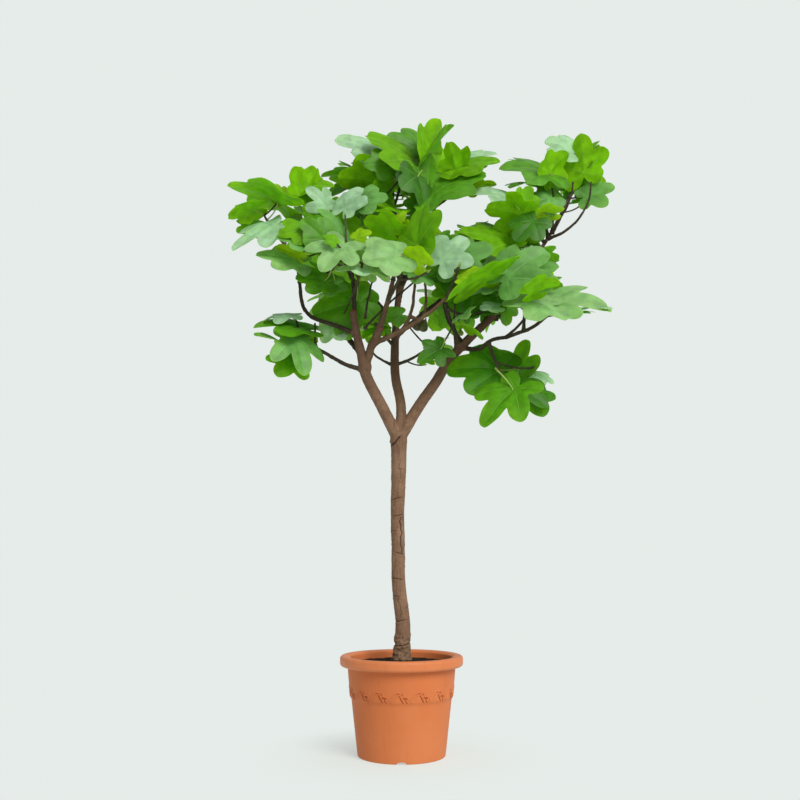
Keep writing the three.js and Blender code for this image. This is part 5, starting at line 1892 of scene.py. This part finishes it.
# ---------------------------------------------------------------- wood
@dataclass
class Wood:
    """Trunk, boughs and limbs."""

    growth: Growth
    voxel: float = 2.1
    collar: float = 34.0
    forward: tuple[float, float, float] = (14.0, -21.0, 0.0)  # how the middle bough bows out above the fork
    # Ring scars, as height, rise, and the degrees about the stem of their middle and half their reach.
    rings: tuple[tuple[float, float, float, float], ...] = (
        (308, 1.3, -90, 400), (373, 1.3, -110, 80), (408, 1.0, -40, 50), (440, 1.2, -130, 60),
        (492, 1.4, -100, 60),
        (532, 0.9, 60, 80), (572, 1.6, -75, 50), (606, 0.8, 150, 90), (640, 1.2, -130, 40),
        (684, 1.6, -85, 60),
        (731, 1.5, -95, 55), (770, 0.7, 30, 90), (815, 0.8, -60, 40), (850, 0.6, 120, 80),
    )
    # Knots, as height, degrees about the stem, radius and rise.
    knots: tuple[tuple[float, float, float, float], ...] = (
        (330, 205, 10, 3.6), (336, -20, 10, 3.0), (310, -70, 9, 2.4), (345, -100, 8, 1.8), (425, -15, 7, 2.0),
        (470, -40, 7, 1.6), (640, 200, 9, 2.2), (600, 20, 6, 1.6), (556, -72, 8, 1.6), (560, 5, 6, 1.8),
        (742, -70, 6, 1.4), (520, 120, 7, 1.8), (690, 70, 7, 1.7), (660, -62, 7, 1.5), (800, 185, 7, 1.3),
    )
    # Clefts along the stem, as their two heights, degrees about it, half width and depth.
    clefts: tuple[tuple[float, float, float, float, float], ...] = (
        (570, 686, -62, 2.2, 1.7), (700, 770, -112, 1.4, 0.8), (380, 455, -100, 1.8, 0.9),
        (770, 860, -80, 1.6, 0.8),
        (420, 560, 95, 2.0, 1.2), (610, 780, 60, 1.8, 1.1),
    )

    def thick_path(self, name: str, steps_per_mm: float = 0.14) -> tuple[Array, Array]:
        """Gives a limb's middle line and radii at fine steps."""
        run = self.growth.wood[name]
        steps = max(8, int(run.curve.length() * steps_per_mm))
        shares = np.linspace(0, 1, steps + 1)
        path = run.curve.path(steps)
        if name == "bough_middle":
            path += np.exp(-(((path[:, 2] - 1015) / 85) ** 2))[:, None] * self.forward
        return path, np.array([run.radius_at(s) for s in shares])

    def build_trunk(self) -> None:
        """Builds the trunk and boughs as one body that flows together at the fork and at each collar."""
        sheaf = Sheaf()
        for name in ("trunk", *BOUGHS):
            path, radii = self.thick_path(name)
            if name == "trunk":
                path = np.vstack([path[0] - [0, 0, 14], path])
                radii = np.concatenate([[radii[0] + 4], radii])
            points, faces = rod(path, radii, sides=24)
            sheaf.add(points, faces)
        for name in LIMBS:
            path, radii = self.thick_path(name, 0.25)
            along = travelled(path)
            seat = radii[0] + 10
            keep = along <= seat + self.collar
            swell = 1 + 0.5 * np.exp(-np.maximum(along - seat * 0.6, 0) / 9)
            fade = np.interp(along, [0, seat + self.collar], [1, 0.7])
            points, faces = rod(path[keep], (radii * swell * fade)[keep], sides=16)
            sheaf.add(points, faces)
        for base, tip, radius in self.stubs():
            points, faces = rod(np.linspace(base, tip, 6), np.full(6, radius), sides=20)
            sheaf.add(points, faces)
        draft = sheaf_mesh(sheaf, "trunk_draft")
        work = loose(draft)
        remesh = work.modifiers.new("blend", "REMESH")
        remesh.mode, remesh.voxel_size = "VOXEL", self.voxel * METRE
        smooth = work.modifiers.new("smooth", "SMOOTH")
        smooth.factor, smooth.iterations = 0.5, 7
        mesh = evaluated(work, "trunk_and_boughs")
        self.relief(mesh)
        # The bark takes painted shade under the crown and in its grooves, clefts and folds.
        bark = BarkFinish(
            "bark", (124, 93, 71), (148, 116, 92), (78, 54, 40), moss_height=0.3, crease_shaded=True,
        ).material()
        cut = BarkFinish("sawn_wood", (112, 64, 46), (140, 88, 64), (66, 36, 28), relief=0.6).material()
        mesh.materials.clear()
        mesh.materials.append(bark)
        mesh.materials.append(cut)
        self.mark_cuts(mesh)
        mesh.shade_smooth()
        piece = placed_piece("trunk_and_boughs", mesh)
        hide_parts("trunk", *BOUGHS)

    @staticmethod
    def stubs() -> list[tuple[Array, Array, float]]:
        """Gives the sawn stubs, each with a base, a tip and a radius."""
        return [
            (np.array([-138.0, -98, 1240]), np.array([-146.0, -107, 1292]), 11.5),
            (np.array([-80.0, -98, 1205]), np.array([-61.0, -113, 1240]), 11.0),
        ]

    def mark_cuts(self, mesh: bpy.types.Mesh) -> None:
        """Gives the sawn ends their own finish."""
        count = len(mesh.polygons)
        centres = np.zeros(count * 3)
        normals = np.zeros(count * 3)
        mesh.polygons.foreach_get("center", centres)
        mesh.polygons.foreach_get("normal", normals)
        centres, normals = centres.reshape(-1, 3) / METRE, normals.reshape(-1, 3)
        slots = np.zeros(count, np.int32)
        for base, tip, radius in self.stubs():
            way = unit(tip - base)
            near = np.linalg.norm(centres - tip, axis=1) < radius + 4
            slots[near & (((centres - tip) @ way) > -4.5)] = 1
        mesh.polygons.foreach_set("material_index", slots)

    def relief(self, mesh: bpy.types.Mesh) -> None:
        """Raises the bark: ridges along the wood, ring scars, knots, and a rough foot; and stores, as a point
        attribute, painted shade in the ring grooves, the clefts and the fork's fold.
        """
        count = len(mesh.vertices)
        points = np.zeros(count * 3, np.float32)
        mesh.vertices.foreach_get("co", points)
        points = points.reshape(-1, 3).astype(float) / METRE
        normals = np.zeros(count * 3, np.float32)
        mesh.vertex_normals.foreach_get("vector", normals)
        normals = normals.reshape(-1, 3).astype(float)
        middles, ways, lengths = [], [], []
        for name in ("trunk", *BOUGHS):
            path, _ = self.thick_path(name, 0.08)
            middles.append(path)
            ways.append(unit(np.gradient(path, axis=0)))
            start = 0 if name == "trunk" else 700
            lengths.append(start + travelled(path))
        middles, ways, lengths = np.concatenate(middles), np.concatenate(ways), np.concatenate(lengths)
        nearest = np.concatenate([
            ((chunk[:, None] - middles[None]) ** 2).sum(-1).argmin(1) for chunk in np.array_split(points, 40)
        ])
        away = points - middles[nearest]
        along = (away * ways[nearest]).sum(-1)
        radial = away - along[:, None] * ways[nearest]
        place = lengths[nearest] + along
        lift = np.zeros(count)
        for i in range(count):
            x, y, z = radial[i]
            s = place[i]
            ridges = noise.noise(Vector((x * 0.2, y * 0.2, z * 0.2 + s * 0.018)))
            fine = noise.noise(Vector((x * 0.55 + 9, y * 0.55, z * 0.55 + s * 0.05)))
            scars = noise.noise(Vector((x * 0.03, y * 0.03, s * 0.16)))
            lift[i] = 0.7 * ridges + 0.4 * fine + 0.5 * scars
        stem = points[:, 2] < 905
        thick = np.linalg.norm(radial, axis=1)
        angle = np.degrees(np.arctan2(away[:, 1], away[:, 0]))
        foot = np.clip((352 - points[:, 2]) / 40, 0, 1)
        rough = np.array(
            [noise.noise(Vector(p * 0.11)) + 0.5 * noise.noise(Vector(p * 0.27)) for p in points[foot > 0]]
        )
        lift[foot > 0] += 4.2 * foot[foot > 0] * rough
        # Painted shade in the recesses: how dark each point's ring groove, cleft or fold is painted, from 0 to 1.
        scar = np.zeros(count)
        for height, rise, middle, reach in self.rings:
            turn = (angle - middle + 180) % 360 - 180
            off = (points[:, 2] - height - 5 * np.sin(np.radians(turn + height))) / 3.0
            groove = np.exp(-((off - 1.6) ** 2) * 1.8)
            within = np.where(stem, np.exp(-((turn / reach) ** 4)), 0)
            lift += rise * (np.exp(-off * off) - 0.9 * groove) * within
            scar = np.maximum(scar, min(0.72, rise / 2) * groove * within)
        for height, where, radius, rise in self.knots:
            turn = (angle - where + 180) % 360 - 180
            far = np.hypot(points[:, 2] - height, np.radians(turn) * thick) / radius
            knot = rise * (np.exp(-far * far) - 0.75 * np.exp(-((far * 2.6) ** 2)))
            lift += np.where(np.abs(points[:, 2] - height) < 40, knot, 0)
        for low, top, where, wide, depth in self.clefts:
            crooked = where + 7 * np.sin(points[:, 2] / 9.0) + 4 * np.sin(points[:, 2] / 3.7)
            turn = (angle - crooked + 180) % 360 - 180
            beside = np.radians(turn) * thick / wide
            within = np.clip((points[:, 2] - low) / 8, 0, 1) * np.clip((top - points[:, 2]) / 8, 0, 1)
            cleft = np.where(stem, within * np.exp(-beside * beside), 0)
            lift -= depth * cleft
            scar = np.maximum(scar, min(1.0, depth / 1.6) * cleft)
        # The fork's wrinkle climbs across the front, under the left bough, over a swelling.
        climb = points[:, 2] - 912 - 0.68 * (points[:, 0] + 12) + 4 * np.sin(points[:, 0] / 5.0)
        front = np.exp(-(((points[:, 0] + 20) / 19) ** 4)) * (points[:, 1] < 2)
        fold = np.exp(-((climb / 3.2) ** 2))
        lift += front * (3.2 * np.exp(-(((climb - 10) / 7) ** 2)) - 4.4 * fold)
        # Painted shade in the fork's fold.
        scar = np.maximum(scar, front * fold)
        mesh.attributes.new("scar", "FLOAT", "POINT").data.foreach_set("value", scar.astype(np.float32))
        points = (points + normals * lift[:, None]) * METRE
        mesh.vertices.foreach_set("co", points.astype(np.float32).ravel())
        mesh.update()

    def build_limbs(self) -> None:
        """Builds the limbs, each with a flared foot, knots along it and an open, crooked line."""
        sheaf = Sheaf()
        brown = {"limb_left_inner", "limb_right_up", "limb_left_cross", "middle_riser", "middle_riser_fork"}
        slim = {"limb_right_up": 0.72, "limb_left_cross": 0.8}
        for number, name in enumerate((*LIMBS, *BRANCHLETS)):
            path, radii = self.thick_path(name, 0.22)
            if name in BRANCHLETS:
                radii = radii * (1 + 0.5 * np.exp(-np.arange(len(radii)) / 2.2)) * 0.88
            radii = radii * np.linspace(1, slim.get(name, 1), len(radii))
            steps = travelled(path)
            knots = 1 + 0.13 * np.exp(-(((steps / 31 + 0.37 * number) % 1 - 0.5) / 0.12) ** 2)
            kink = np.array([noise.noise_vector(Vector((s * 0.03, number * 7.1, 0.5))) for s in steps])
            ends = np.sin(np.linspace(0, math.pi, len(steps)))[:, None]
            points, faces = rod(path + kink * 2.2 * ends, radii * knots, sides=14)
            bumps = np.array([noise.noise(Vector(p * 0.16)) for p in points[:-2]])
            centre = np.repeat(path, 14, axis=0)
            points[:-2] += unit(points[:-2] - centre) * (0.7 * bumps)[:, None]
            sheaf.add(points, [(rows, 0 if name in brown else 1) for rows, _ in faces])
        old = BarkFinish("limb_bark", (96, 72, 52), (120, 94, 68), (52, 38, 28)).material()
        young = BarkFinish("young_bark", (56, 46, 34), (78, 70, 50), (30, 25, 20)).material()
        piece = sheaf.build("limbs", [old, young], "bark")
        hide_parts(*LIMBS)

    def build_dots(self) -> None:
        """Scatters the small corky dots of fig bark over the trunk and boughs."""
        base = bpy.data.objects["trunk_and_boughs"]
        scatter = Scatter("bark_dots", base.data, density=9000, seed=4, smallest=0.5, largest=1.3, flat=0.45)
        material = SoftFinish("bark_dot", (158, 132, 104), (120, 92, 70), 0.85).material()
        placed_piece("bark_dots", scatter.mesh(material))


def sheaf_mesh(sheaf: Sheaf, name: str) -> bpy.types.Mesh:
    """Joins a sheaf into a bare mesh."""
    mesh = bpy.data.meshes.new(name)
    rows = [row.tolist() for rows, _ in sheaf.faces for row in rows]
    mesh.from_pydata((np.concatenate(sheaf.points) * METRE).tolist(), [], rows)
    return mesh


@dataclass
class Scatter:
    """Small lumps scattered over a surface by Geometry Nodes."""

    name: str
    surface: bpy.types.Mesh
    density: float  # a square metre
    seed: int
    smallest: float  # in millimetres across
    largest: float
    flat: float = 1.0  # height of a lump as a share of its width
    detail: int = 1

    def mesh(self, material: bpy.types.Material) -> bpy.types.Mesh:
        """Scatters the lumps and returns them as a plain mesh."""
        tree = bpy.data.node_groups.new(self.name, "GeometryNodeTree")
        face = tree.interface
        face.new_socket("Geometry", in_out="INPUT", socket_type="NodeSocketGeometry")
        inputs = {
            "Density": self.density, "Smallest": self.smallest * METRE / 2,
            "Largest": self.largest * METRE / 2, "Flatness": self.flat,
        }
        for label in inputs:
            face.new_socket(label, in_out="INPUT", socket_type="NodeSocketFloat")
        face.new_socket("Seed", in_out="INPUT", socket_type="NodeSocketInt")
        face.new_socket("Geometry", in_out="OUTPUT", socket_type="NodeSocketGeometry")
        bench = Bench(tree, "GeometryNode")
        given = bench.node("NodeGroupInput")
        wires = {socket.name: Wire(bench, socket) for socket in given.outputs if socket.name}
        scatter = bench.node(
            "DistributePointsOnFaces", None,
            {"Mesh": wires["Geometry"], "Density": wires["Density"], "Seed": wires["Seed"]},
        )
        lump = bench.add("MeshIcoSphere", None, {"Radius": 1.0, "Subdivisions": self.detail})
        size = bench.add(
            "FunctionNodeRandomValue", {"data_type": "FLOAT"},
            {2: wires["Smallest"], 3: wires["Largest"], "Seed": wires["Seed"]}, out=1,
        )
        tall = bench.add("ShaderNodeMath", {"operation": "MULTIPLY"}, {0: size, 1: wires["Flatness"]})
        squash = bench.add("ShaderNodeCombineXYZ", None, {0: size, 1: size, 2: tall})
        laid = bench.add("InstanceOnPoints", None, {
            "Points": Wire(bench, scatter.outputs["Points"]), "Instance": lump,
            "Rotation": Wire(bench, scatter.outputs["Rotation"]), "Scale": squash,
        })
        real = bench.add("RealizeInstances", None, {"Geometry": laid})
        painted = bench.add("SetMaterial", None, {"Geometry": real, "Material": material})
        bench.node("NodeGroupOutput", None, {0: painted})
        work = loose(self.surface.copy())
        modifier = work.modifiers.new("scatter", "NODES")
        modifier.node_group = tree
        ids = {item.name: item.identifier for item in face.items_tree if item.in_out == "INPUT"}
        for label, value in inputs.items():
            modifier[ids[label]] = float(value)
        modifier[ids["Seed"]] = self.seed
        mesh = evaluated(work, self.name)
        mesh.shade_smooth()
        return mesh


# ---------------------------------------------------------------- pot and compost
@dataclass
class MouldedPot:
    """The pot: a tapering body with a small step, a rolled rim, drainage channels and a band of waves."""

    height: float = 280.0
    rim_radius: float = 180.0
    rim_depth: float = 30.0
    rim_round: float = 9.0
    rim_inner: float = 152.0  # where the rim's finish, lighter as a painted highlight, begins
    mouth_radius: float = 148.0
    collar_radius: float = 158.0
    band_top: float = 168.0
    band_radius: float = 150.5
    band_step: float = 4.5
    band_bottom: float = 160.0
    foot_radius: float = 127.0
    foot_round: float = 3.0
    wall: float = 9.0
    floor: float = 13.0
    channel_width: float = 29.0
    channel_height: float = 7.0
    channel_inner: float = 52.0
    channels: int = 4
    segments: int = 144
    waves: int = 16
    band_middle: float = 181.0

    def body(self, height: float) -> float:
        """Gives the body's outer radius at a height."""
        under = self.height - self.rim_depth
        places = [0, self.band_bottom, self.band_top, under]
        return float(
            np.interp(
                height, places,
                [self.foot_radius, self.band_radius - self.band_step, self.band_radius, self.collar_radius],
            )
        )

    def inside(self, height: float) -> float:
        """Gives the inner radius at a height."""
        if height <= self.band_bottom:
            return self.body(height) - self.wall
        return float(
            np.interp(
                height, [self.band_bottom, self.height - self.rim_round],
                [self.body(self.band_bottom) - self.wall, self.mouth_radius],
            )
        )

    @staticmethod
    def arc(
        centre: tuple[float, float], radius: float, start: float, end: float, steps: int,
    ) -> list[tuple[float, float]]:
        """Gives points of a round, from one angle to another in degrees."""
        angles = np.radians(np.linspace(start, end, steps + 1))
        return [(centre[0] + radius * math.cos(a), centre[1] + radius * math.sin(a)) for a in angles]

    def profile(self) -> list[tuple[float, float]]:
        """Gives the outline turned about the pot's axis, from the underside round to the inner floor."""
        under, round_, foot = self.height - self.rim_depth, self.rim_round, self.foot_round
        low, step = self.body(self.band_bottom), self.body(self.band_top)
        return [
            (40, 0), (100, 0), (self.foot_radius - foot, 0),
            *self.arc((self.foot_radius - foot, foot), foot, -75, 0, 4),
            (self.body(20), 20), (self.body(60), 60), (self.body(110), 110), (self.body(150), 150),
            (low, 159),
            (low + 0.6, 160.4), (low + 2.2, 162.4), (step - 1.4, 166), (step - 0.3, 168.2), (step, 170),
            (self.body(190), 190), (self.body(215), 215), (self.body(240), 240),
            (self.collar_radius - 0.4, under - 4),
            (self.collar_radius + 0.6, under - 1.2), (self.collar_radius + 3, under),
            *self.arc((self.rim_radius - round_, under + round_), round_, -90, 0, 7),
            *self.arc((self.rim_radius - round_, self.height - round_), round_, 0, 90, 8),
            (163, self.height - 0.4), (self.mouth_radius + 8, self.height - 1.6),
            *self.arc((self.mouth_radius + 6, self.height - 9), 6, 80, 180, 6),
            (self.mouth_radius - 0.2, 262), (self.inside(240), 240), (self.inside(160), 160),
            (self.inside(self.floor), self.floor), (40, self.floor),
        ]

    def build_body(self, clay: bpy.types.Material, rim: bpy.types.Material) -> None:
        """Turns the body and cuts the channels across its underside."""
        profile = np.array(self.profile())
        n, rows = self.segments, len(profile)
        angles = np.arange(n) * 2 * math.pi / n
        points = np.stack([
            np.outer(profile[:, 0], np.cos(angles)), np.outer(profile[:, 0], np.sin(angles)),
            np.repeat(profile[:, 1:], n, axis=1),
        ], axis=-1).reshape(-1, 3)
        j = np.arange(n)
        following = (j + 1) % n
        bands = ring_bands(rows, n)[:, [0, 3, 2, 1]]  # turned over, to face outwards
        points = np.vstack([points, [0, 0, profile[0, 1]], [0, 0, profile[-1, 1]]])
        low, top = rows * n, rows * n + 1
        caps = np.vstack([
            np.stack([np.full(n, low), following, j], axis=1),
            np.stack([np.full(n, top), (rows - 1) * n + j, (rows - 1) * n + following], axis=1),
        ])
        sheaf = Sheaf()
        sheaf.add(points, [(bands, 0), (caps, 0)])
        cutters = Sheaf()
        for i in range(self.channels):
            path = np.array([[0, -self.channel_inner, 0], [0, -self.foot_radius * 1.5, 0]], float)
            turn = i * 2 * math.pi / self.channels
            c, s = math.cos(turn), math.sin(turn)
            path = path @ np.array([[c, s, 0], [-s, c, 0], [0, 0, 1]])
            wide = np.full(2, self.channel_width / 2)
            corners, faces = rod(
                path, wide, np.full(2, self.channel_height), sides=12, first_side=np.cross(UP, path[1]),
            )
            cutters.add(corners, faces)
        work, cutter = loose(sheaf_mesh(sheaf, "pot_draft")), loose(sheaf_mesh(cutters, "channels"))
        cut = work.modifiers.new("cut", "BOOLEAN")
        cut.operation, cut.object, cut.solver = "DIFFERENCE", cutter, "EXACT"
        mesh = evaluated(work, "pot_body")
        bpy.data.objects.remove(cutter)
        mesh.materials.clear()
        for finish in (clay, rim):
            mesh.materials.append(finish)
        # Faces of the rim take the lighter finish, a painted highlight on the rim.
        for face in mesh.polygons:
            high = face.center.z > (self.height - self.rim_depth) * METRE
            face.material_index = int(high and math.hypot(*face.center.xy) > self.rim_inner * METRE)
        mesh.shade_smooth()
        mesh.set_sharp_from_angle(angle=math.radians(38))
        piece = placed_piece("pot_body", mesh)
        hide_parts("pot")

    def on_wall(self, points: Sequence[tuple[float, float]], proud: float = 0.0) -> Array:
        """Lays points of the band, as far round and up from its middle, on the pot's wall."""
        placed = []
        for around, up in points:
            z = self.band_middle + up
            r = self.body(z) + proud
            angle = around / self.band_radius
            placed.append((r * math.cos(angle), r * math.sin(angle), z))
        return np.array(placed)

    def motif(self) -> bpy.types.Mesh:
        """Makes one wave of the band: a crest with its hook, and a stroke and tee beside it, the thinner strokes in
        dark clay as painted shade along the relief.
        """
        lines = (
            # shape, widths, height, slot; slot 1 is dark clay, painted shade along the relief
            (
                [(-27, -9), (-21, -5), (-15, 2), (-9, 9), (-2, 13.5), (5, 13), (9, 9), (9.5, 4)],
                (1.6, 3.2, 2.2, 0.9), 1.3, 0,
            ),
            ([(-24, -15), (-16, -11), (-8, -4), (-3, 3), (2, 7), (5, 6)], (1.0, 2.4, 1.8, 0.7), 1.0, 0),
            ([(2, 5), (6, 0), (9, -6), (14, -13), (16, -16)], (0.9, 1.7, 1.5, 0.6), 0.5, 1),
            ([(11, 12), (13, 7), (15, 5)], (0.6, 1.1, 0.5), 0.4, 1),
            ([(13, -3), (18, -2), (23, -2.5), (27, -5)], (0.7, 1.4, 1.2, 0.6), 0.5, 1),
            ([(20, -3), (22, -9), (25, -14), (28, -17)], (0.8, 1.3, 1.1, 0.5), 0.5, 1),
            ([(15, 0.5), (21, 1.5), (26, -0.5), (30, -4)], (1.0, 1.9, 1.5, 0.7), 0.9, 0),
            ([(-8, 6), (-4, 9.5), (0, 10.6), (3.5, 9.6)], (0.4, 0.9, 0.5), 0.4, 1),
        )
        sheaf = Sheaf()
        for shape, widths, height, slot in lines:
            curve = Curve([(x, y, 0) for x, y in shape])
            flat = curve.path(4 * (len(shape) - 1))[:, :2]
            path = self.on_wall([tuple(p) for p in flat])
            out = unit(path * [1, 1, 0])
            wide = np.interp(np.linspace(0, 1, len(path)), np.linspace(0, 1, len(widths)), widths)
            points, faces = rod(
                path, wide, np.full(len(path), height), sides=8,
                first_side=np.cross(out[0], path[1] - path[0]),
            )
            sheaf.add(points, [(rows, slot) for rows, _ in faces])
        mesh = sheaf_mesh(sheaf, "wave")
        slots = np.concatenate([np.full(len(rows), slot) for rows, slot in sheaf.faces]).astype(np.int32)
        mesh.polygons.foreach_set("material_index", slots)
        return mesh

    def build_band(self, clay: bpy.types.Material, shade: bpy.types.Material) -> None:
        """Repeats the wave round the pot."""
        motif = self.motif()
        motif.materials.append(clay)
        motif.materials.append(shade)
        tree = bpy.data.node_groups.new("band", "GeometryNodeTree")
        face = tree.interface
        face.new_socket("Geometry", in_out="INPUT", socket_type="NodeSocketGeometry")
        face.new_socket("Count", in_out="INPUT", socket_type="NodeSocketInt")
        face.new_socket("First", in_out="INPUT", socket_type="NodeSocketFloat")
        face.new_socket("Geometry", in_out="OUTPUT", socket_type="NodeSocketGeometry")
        bench = Bench(tree, "GeometryNode")
        given = bench.node("NodeGroupInput")
        wires = {socket.name: Wire(bench, socket) for socket in given.outputs if socket.name}
        centres = bench.add("MeshLine", None, {"Count": wires["Count"], "Offset": (0.0, 0.0, 0.0)})
        laid = bench.add("InstanceOnPoints", None, {"Points": centres, "Instance": wires["Geometry"]})
        index = bench.add("InputIndex")
        share = bench.add("ShaderNodeMath", {"operation": "DIVIDE"}, {0: index, 1: wires["Count"]})
        turn = bench.add(
            "ShaderNodeMath", {"operation": "MULTIPLY_ADD"}, {0: share, 1: 2 * math.pi, 2: wires["First"]},
        )
        way = bench.add("ShaderNodeCombineXYZ", None, {2: turn})
        spun = bench.add("RotateInstances", None, {"Instances": laid, "Rotation": way, "Local Space": False})
        real = bench.add("RealizeInstances", None, {"Geometry": spun})
        bench.node("NodeGroupOutput", None, {0: real})
        work = loose(motif)
        modifier = work.modifiers.new("band", "NODES")
        modifier.node_group = tree
        ids = {item.name: item.identifier for item in face.items_tree if item.in_out == "INPUT"}
        modifier[ids["Count"]] = self.waves
        modifier[ids["First"]] = math.radians(-90 - 4)
        mesh = evaluated(work, "pot_band")
        mesh.shade_smooth()
        placed_piece("pot_band", mesh)

    def build(self) -> None:
        """Builds the pot."""
        clay = MouldedFinish("clay", (202, 113, 66), (210, 127, 80), (176, 86, 47)).material()
        # Dark clay for the band's thin strokes: painted shade along the relief.
        shade = MouldedFinish("clay_painted_shade", (150, 66, 28), (160, 74, 34), (126, 52, 22), 0.6).material()
        # The rim's clay is glossier, and its lighter colours are a painted highlight.
        rim = MouldedFinish("clay_rim_highlight", (206, 118, 70), (220, 142, 98), (182, 92, 50), 0.4, 0.22).material()
        self.build_body(clay, rim)
        self.build_band(clay, shade)


@dataclass
class Compost:
    """The potting mix: a bumpy top with crumbs and a few pale grains."""

    pot: MouldedPot
    top: float = 258.0
    mound: float = 11.0
    bottom: float = 236.0
    play: float = 0.9

    def build(self) -> None:
        """Builds the top and scatters the crumbs."""
        shares = np.linspace(0, 1, 27)[1:]
        n = 112
        angles = np.arange(n) * 2 * math.pi / n
        radius = self.pot.inside(self.top) - self.play
        rows = []
        for share in shares:
            r = radius * share
            ring = np.stack([r * np.cos(angles), r * np.sin(angles), np.zeros(n)], axis=1)
            bumps = np.array(
                [noise.noise(Vector(p * 0.045)) * 3.2 + noise.noise(Vector(p * 0.16)) * 1.6 for p in ring]
            )
            mound = self.mound * math.exp(-((r / 62) ** 2))
            ring[:, 2] = self.top + bumps * (1 - 0.5 * share**6) + mound - 1.5 * share**4
            rows.append(ring)
        for depth, shrink in ((self.top - 7, 0.1), (self.bottom, 1.4)):
            r = self.pot.inside(depth) - self.play - shrink
            rows.append(np.stack([r * np.cos(angles), r * np.sin(angles), np.full(n, depth)], axis=1))
        points = np.vstack([*rows, [0, 0, self.top + self.mound], [0, 0, self.bottom]])
        j = np.arange(n)
        following = (j + 1) % n
        count = len(rows)
        bands = ring_bands(count, n)
        middle, under = count * n, count * n + 1
        caps = np.vstack([
            np.stack([np.full(n, middle), j, following], axis=1),
            np.stack([np.full(n, under), (count - 1) * n + following, (count - 1) * n + j], axis=1),
        ])
        sheaf = Sheaf()
        sheaf.add(points, [(bands, 0), (caps, 0)])
        ground = CompostFinish("compost", (26, 19, 14), (52, 38, 27)).material()
        piece = sheaf.build("compost", [ground], "soil")
        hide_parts("soil")
        upper = Sheaf()
        upper.add(points, [(bands[: n * (len(shares) - 1)], 0)])
        surface = sheaf_mesh(upper, "compost_top")
        crumbs = Scatter(
            "compost_crumbs", surface, density=26000, seed=7, smallest=2.0, largest=7.5, flat=0.7,
        ).mesh(ground)
        placed_piece("compost_crumbs", crumbs)
        pale = SoftFinish("grit", (150, 132, 110), (112, 92, 72), 0.9).material()
        grit = Scatter(
            "compost_grit", surface, density=1500, seed=11, smallest=1.6, largest=4.2, flat=0.8,
        ).mesh(pale)
        placed_piece("compost_grit", grit)


# ---------------------------------------------------------------- studio
@dataclass
class Studio:
    """The floor, the light and the camera."""

    backdrop: tuple[int, int, int] = (230, 236, 233)
    ambient: float = 0.64
    side: float = 0.3  # how much brighter the surround is to the right
    sun: float = 2.4

    def camera(self) -> None:
        """Sets the camera."""
        data = bpy.data.cameras.new("camera")
        data.lens, data.sensor_width, data.clip_end = FRONT.lens, FRONT.sensor, 200.0
        camera = bpy.data.objects.new("camera", data)
        camera.location = np.array(FRONT.eye) * METRE
        camera.rotation_euler = (math.radians(FRONT.tilt), 0, 0)
        bpy.context.scene.collection.objects.link(camera)
        bpy.context.scene.camera = camera

    def light(
        self, name: str, strength: float, spread: float, tilt: float, turn: float,
        colour: tuple[float, float, float],
    ) -> None:
        """Adds a soft distant light, tilted from overhead and turned about the vertical, in degrees."""
        data = bpy.data.lights.new(name, "SUN")
        data.energy, data.angle, data.color = strength, math.radians(spread), colour
        lamp = bpy.data.objects.new(name, data)
        lamp.rotation_euler = (math.radians(tilt), 0, math.radians(turn))
        bpy.context.scene.collection.objects.link(lamp)

    def world(self) -> None:
        """Sets a plain surround that looks like the backdrop and lights the tree more softly."""
        world = bpy.data.worlds.new("studio")
        world.use_nodes = True
        world.node_tree.nodes.clear()
        bench = Bench(world.node_tree)
        seen = linear(*self.backdrop)
        lit = tuple(c * self.ambient for c in seen[:3]) + (1.0,)
        direct = bench.add("LightPath", out="Is Camera Ray")
        east = bench.add("SeparateXYZ", None, {"Vector": bench.add("TexCoord", out="Generated")}, out="X")
        strength = direct + (1 - direct) * (east * self.side + 1)
        surround = bench.add(
            "Background", None, {"Color": bench.mix(direct, lit, seen), "Strength": strength},
        )
        bench.node("OutputWorld", None, {"Surface": surround})
        bpy.context.scene.world = world

    def floor(self) -> None:
        """Lays a floor that takes soft shadows near the pot and runs out into the backdrop."""
        n = 64
        angles = np.arange(n) * 2 * math.pi / n
        radii = (400.0, 1500.0, 6000.0, 60000.0)
        rings = [np.stack([r * np.cos(angles), r * np.sin(angles), np.zeros(n)], axis=1) for r in radii]
        points = np.vstack([*rings, [0, 0, 0]])
        j = np.arange(n)
        following = (j + 1) % n
        bands = ring_bands(len(radii), n)
        caps = np.stack([np.full(n, 4 * n), j, following], axis=1)
        sheaf = Sheaf()
        sheaf.add(points, [(bands, 0), (caps, 0)])
        mesh = sheaf_mesh(sheaf, "floor")
        material = bpy.data.materials.new("floor")
        material.use_nodes = True
        material.node_tree.nodes.clear()
        bench = Bench(material.node_tree)
        place = bench.add("TexCoord", out="Object")
        far = bench.add("ShaderNodeVectorMath", {"operation": "LENGTH"}, {0: place}, out="Value")
        matt = bench.add("BsdfDiffuse", None, {"Color": linear(226, 232, 229)})
        glow = bench.add("Emission", None, {"Color": linear(*self.backdrop), "Strength": 1.0})
        mixed = bench.add("MixShader", None, {0: bench.step(far, 0.1, 0.5) * 0.45 + 0.55, 1: matt, 2: glow})
        bench.node("OutputMaterial", None, {"Surface": mixed})
        mesh.materials.append(material)
        piece = loose(mesh)

    def build(self) -> None:
        """Builds the studio."""
        self.camera()
        self.floor()
        self.world()
        self.light("key", self.sun, 30, 50, 30, (1.0, 0.985, 0.96))
        bpy.context.scene.view_settings.view_transform = "Standard"


def main() -> None:
    """Builds everything in order, and logs the faces of each piece and the count of leaves."""
    logging.basicConfig(level=logging.INFO, format="%(message)s")
    Studio().build()
    pot = MouldedPot()
    pot.build()
    Compost(pot).build()
    growth = Growth()
    growth.grow()
    wood = Wood(growth)
    wood.build_trunk()
    wood.build_limbs()
    wood.build_dots()
    crown = Crown(growth)
    crown.build_twigs()
    crown.build_leaves()
    Figs().build()


if __name__ == "__main__":
    main()
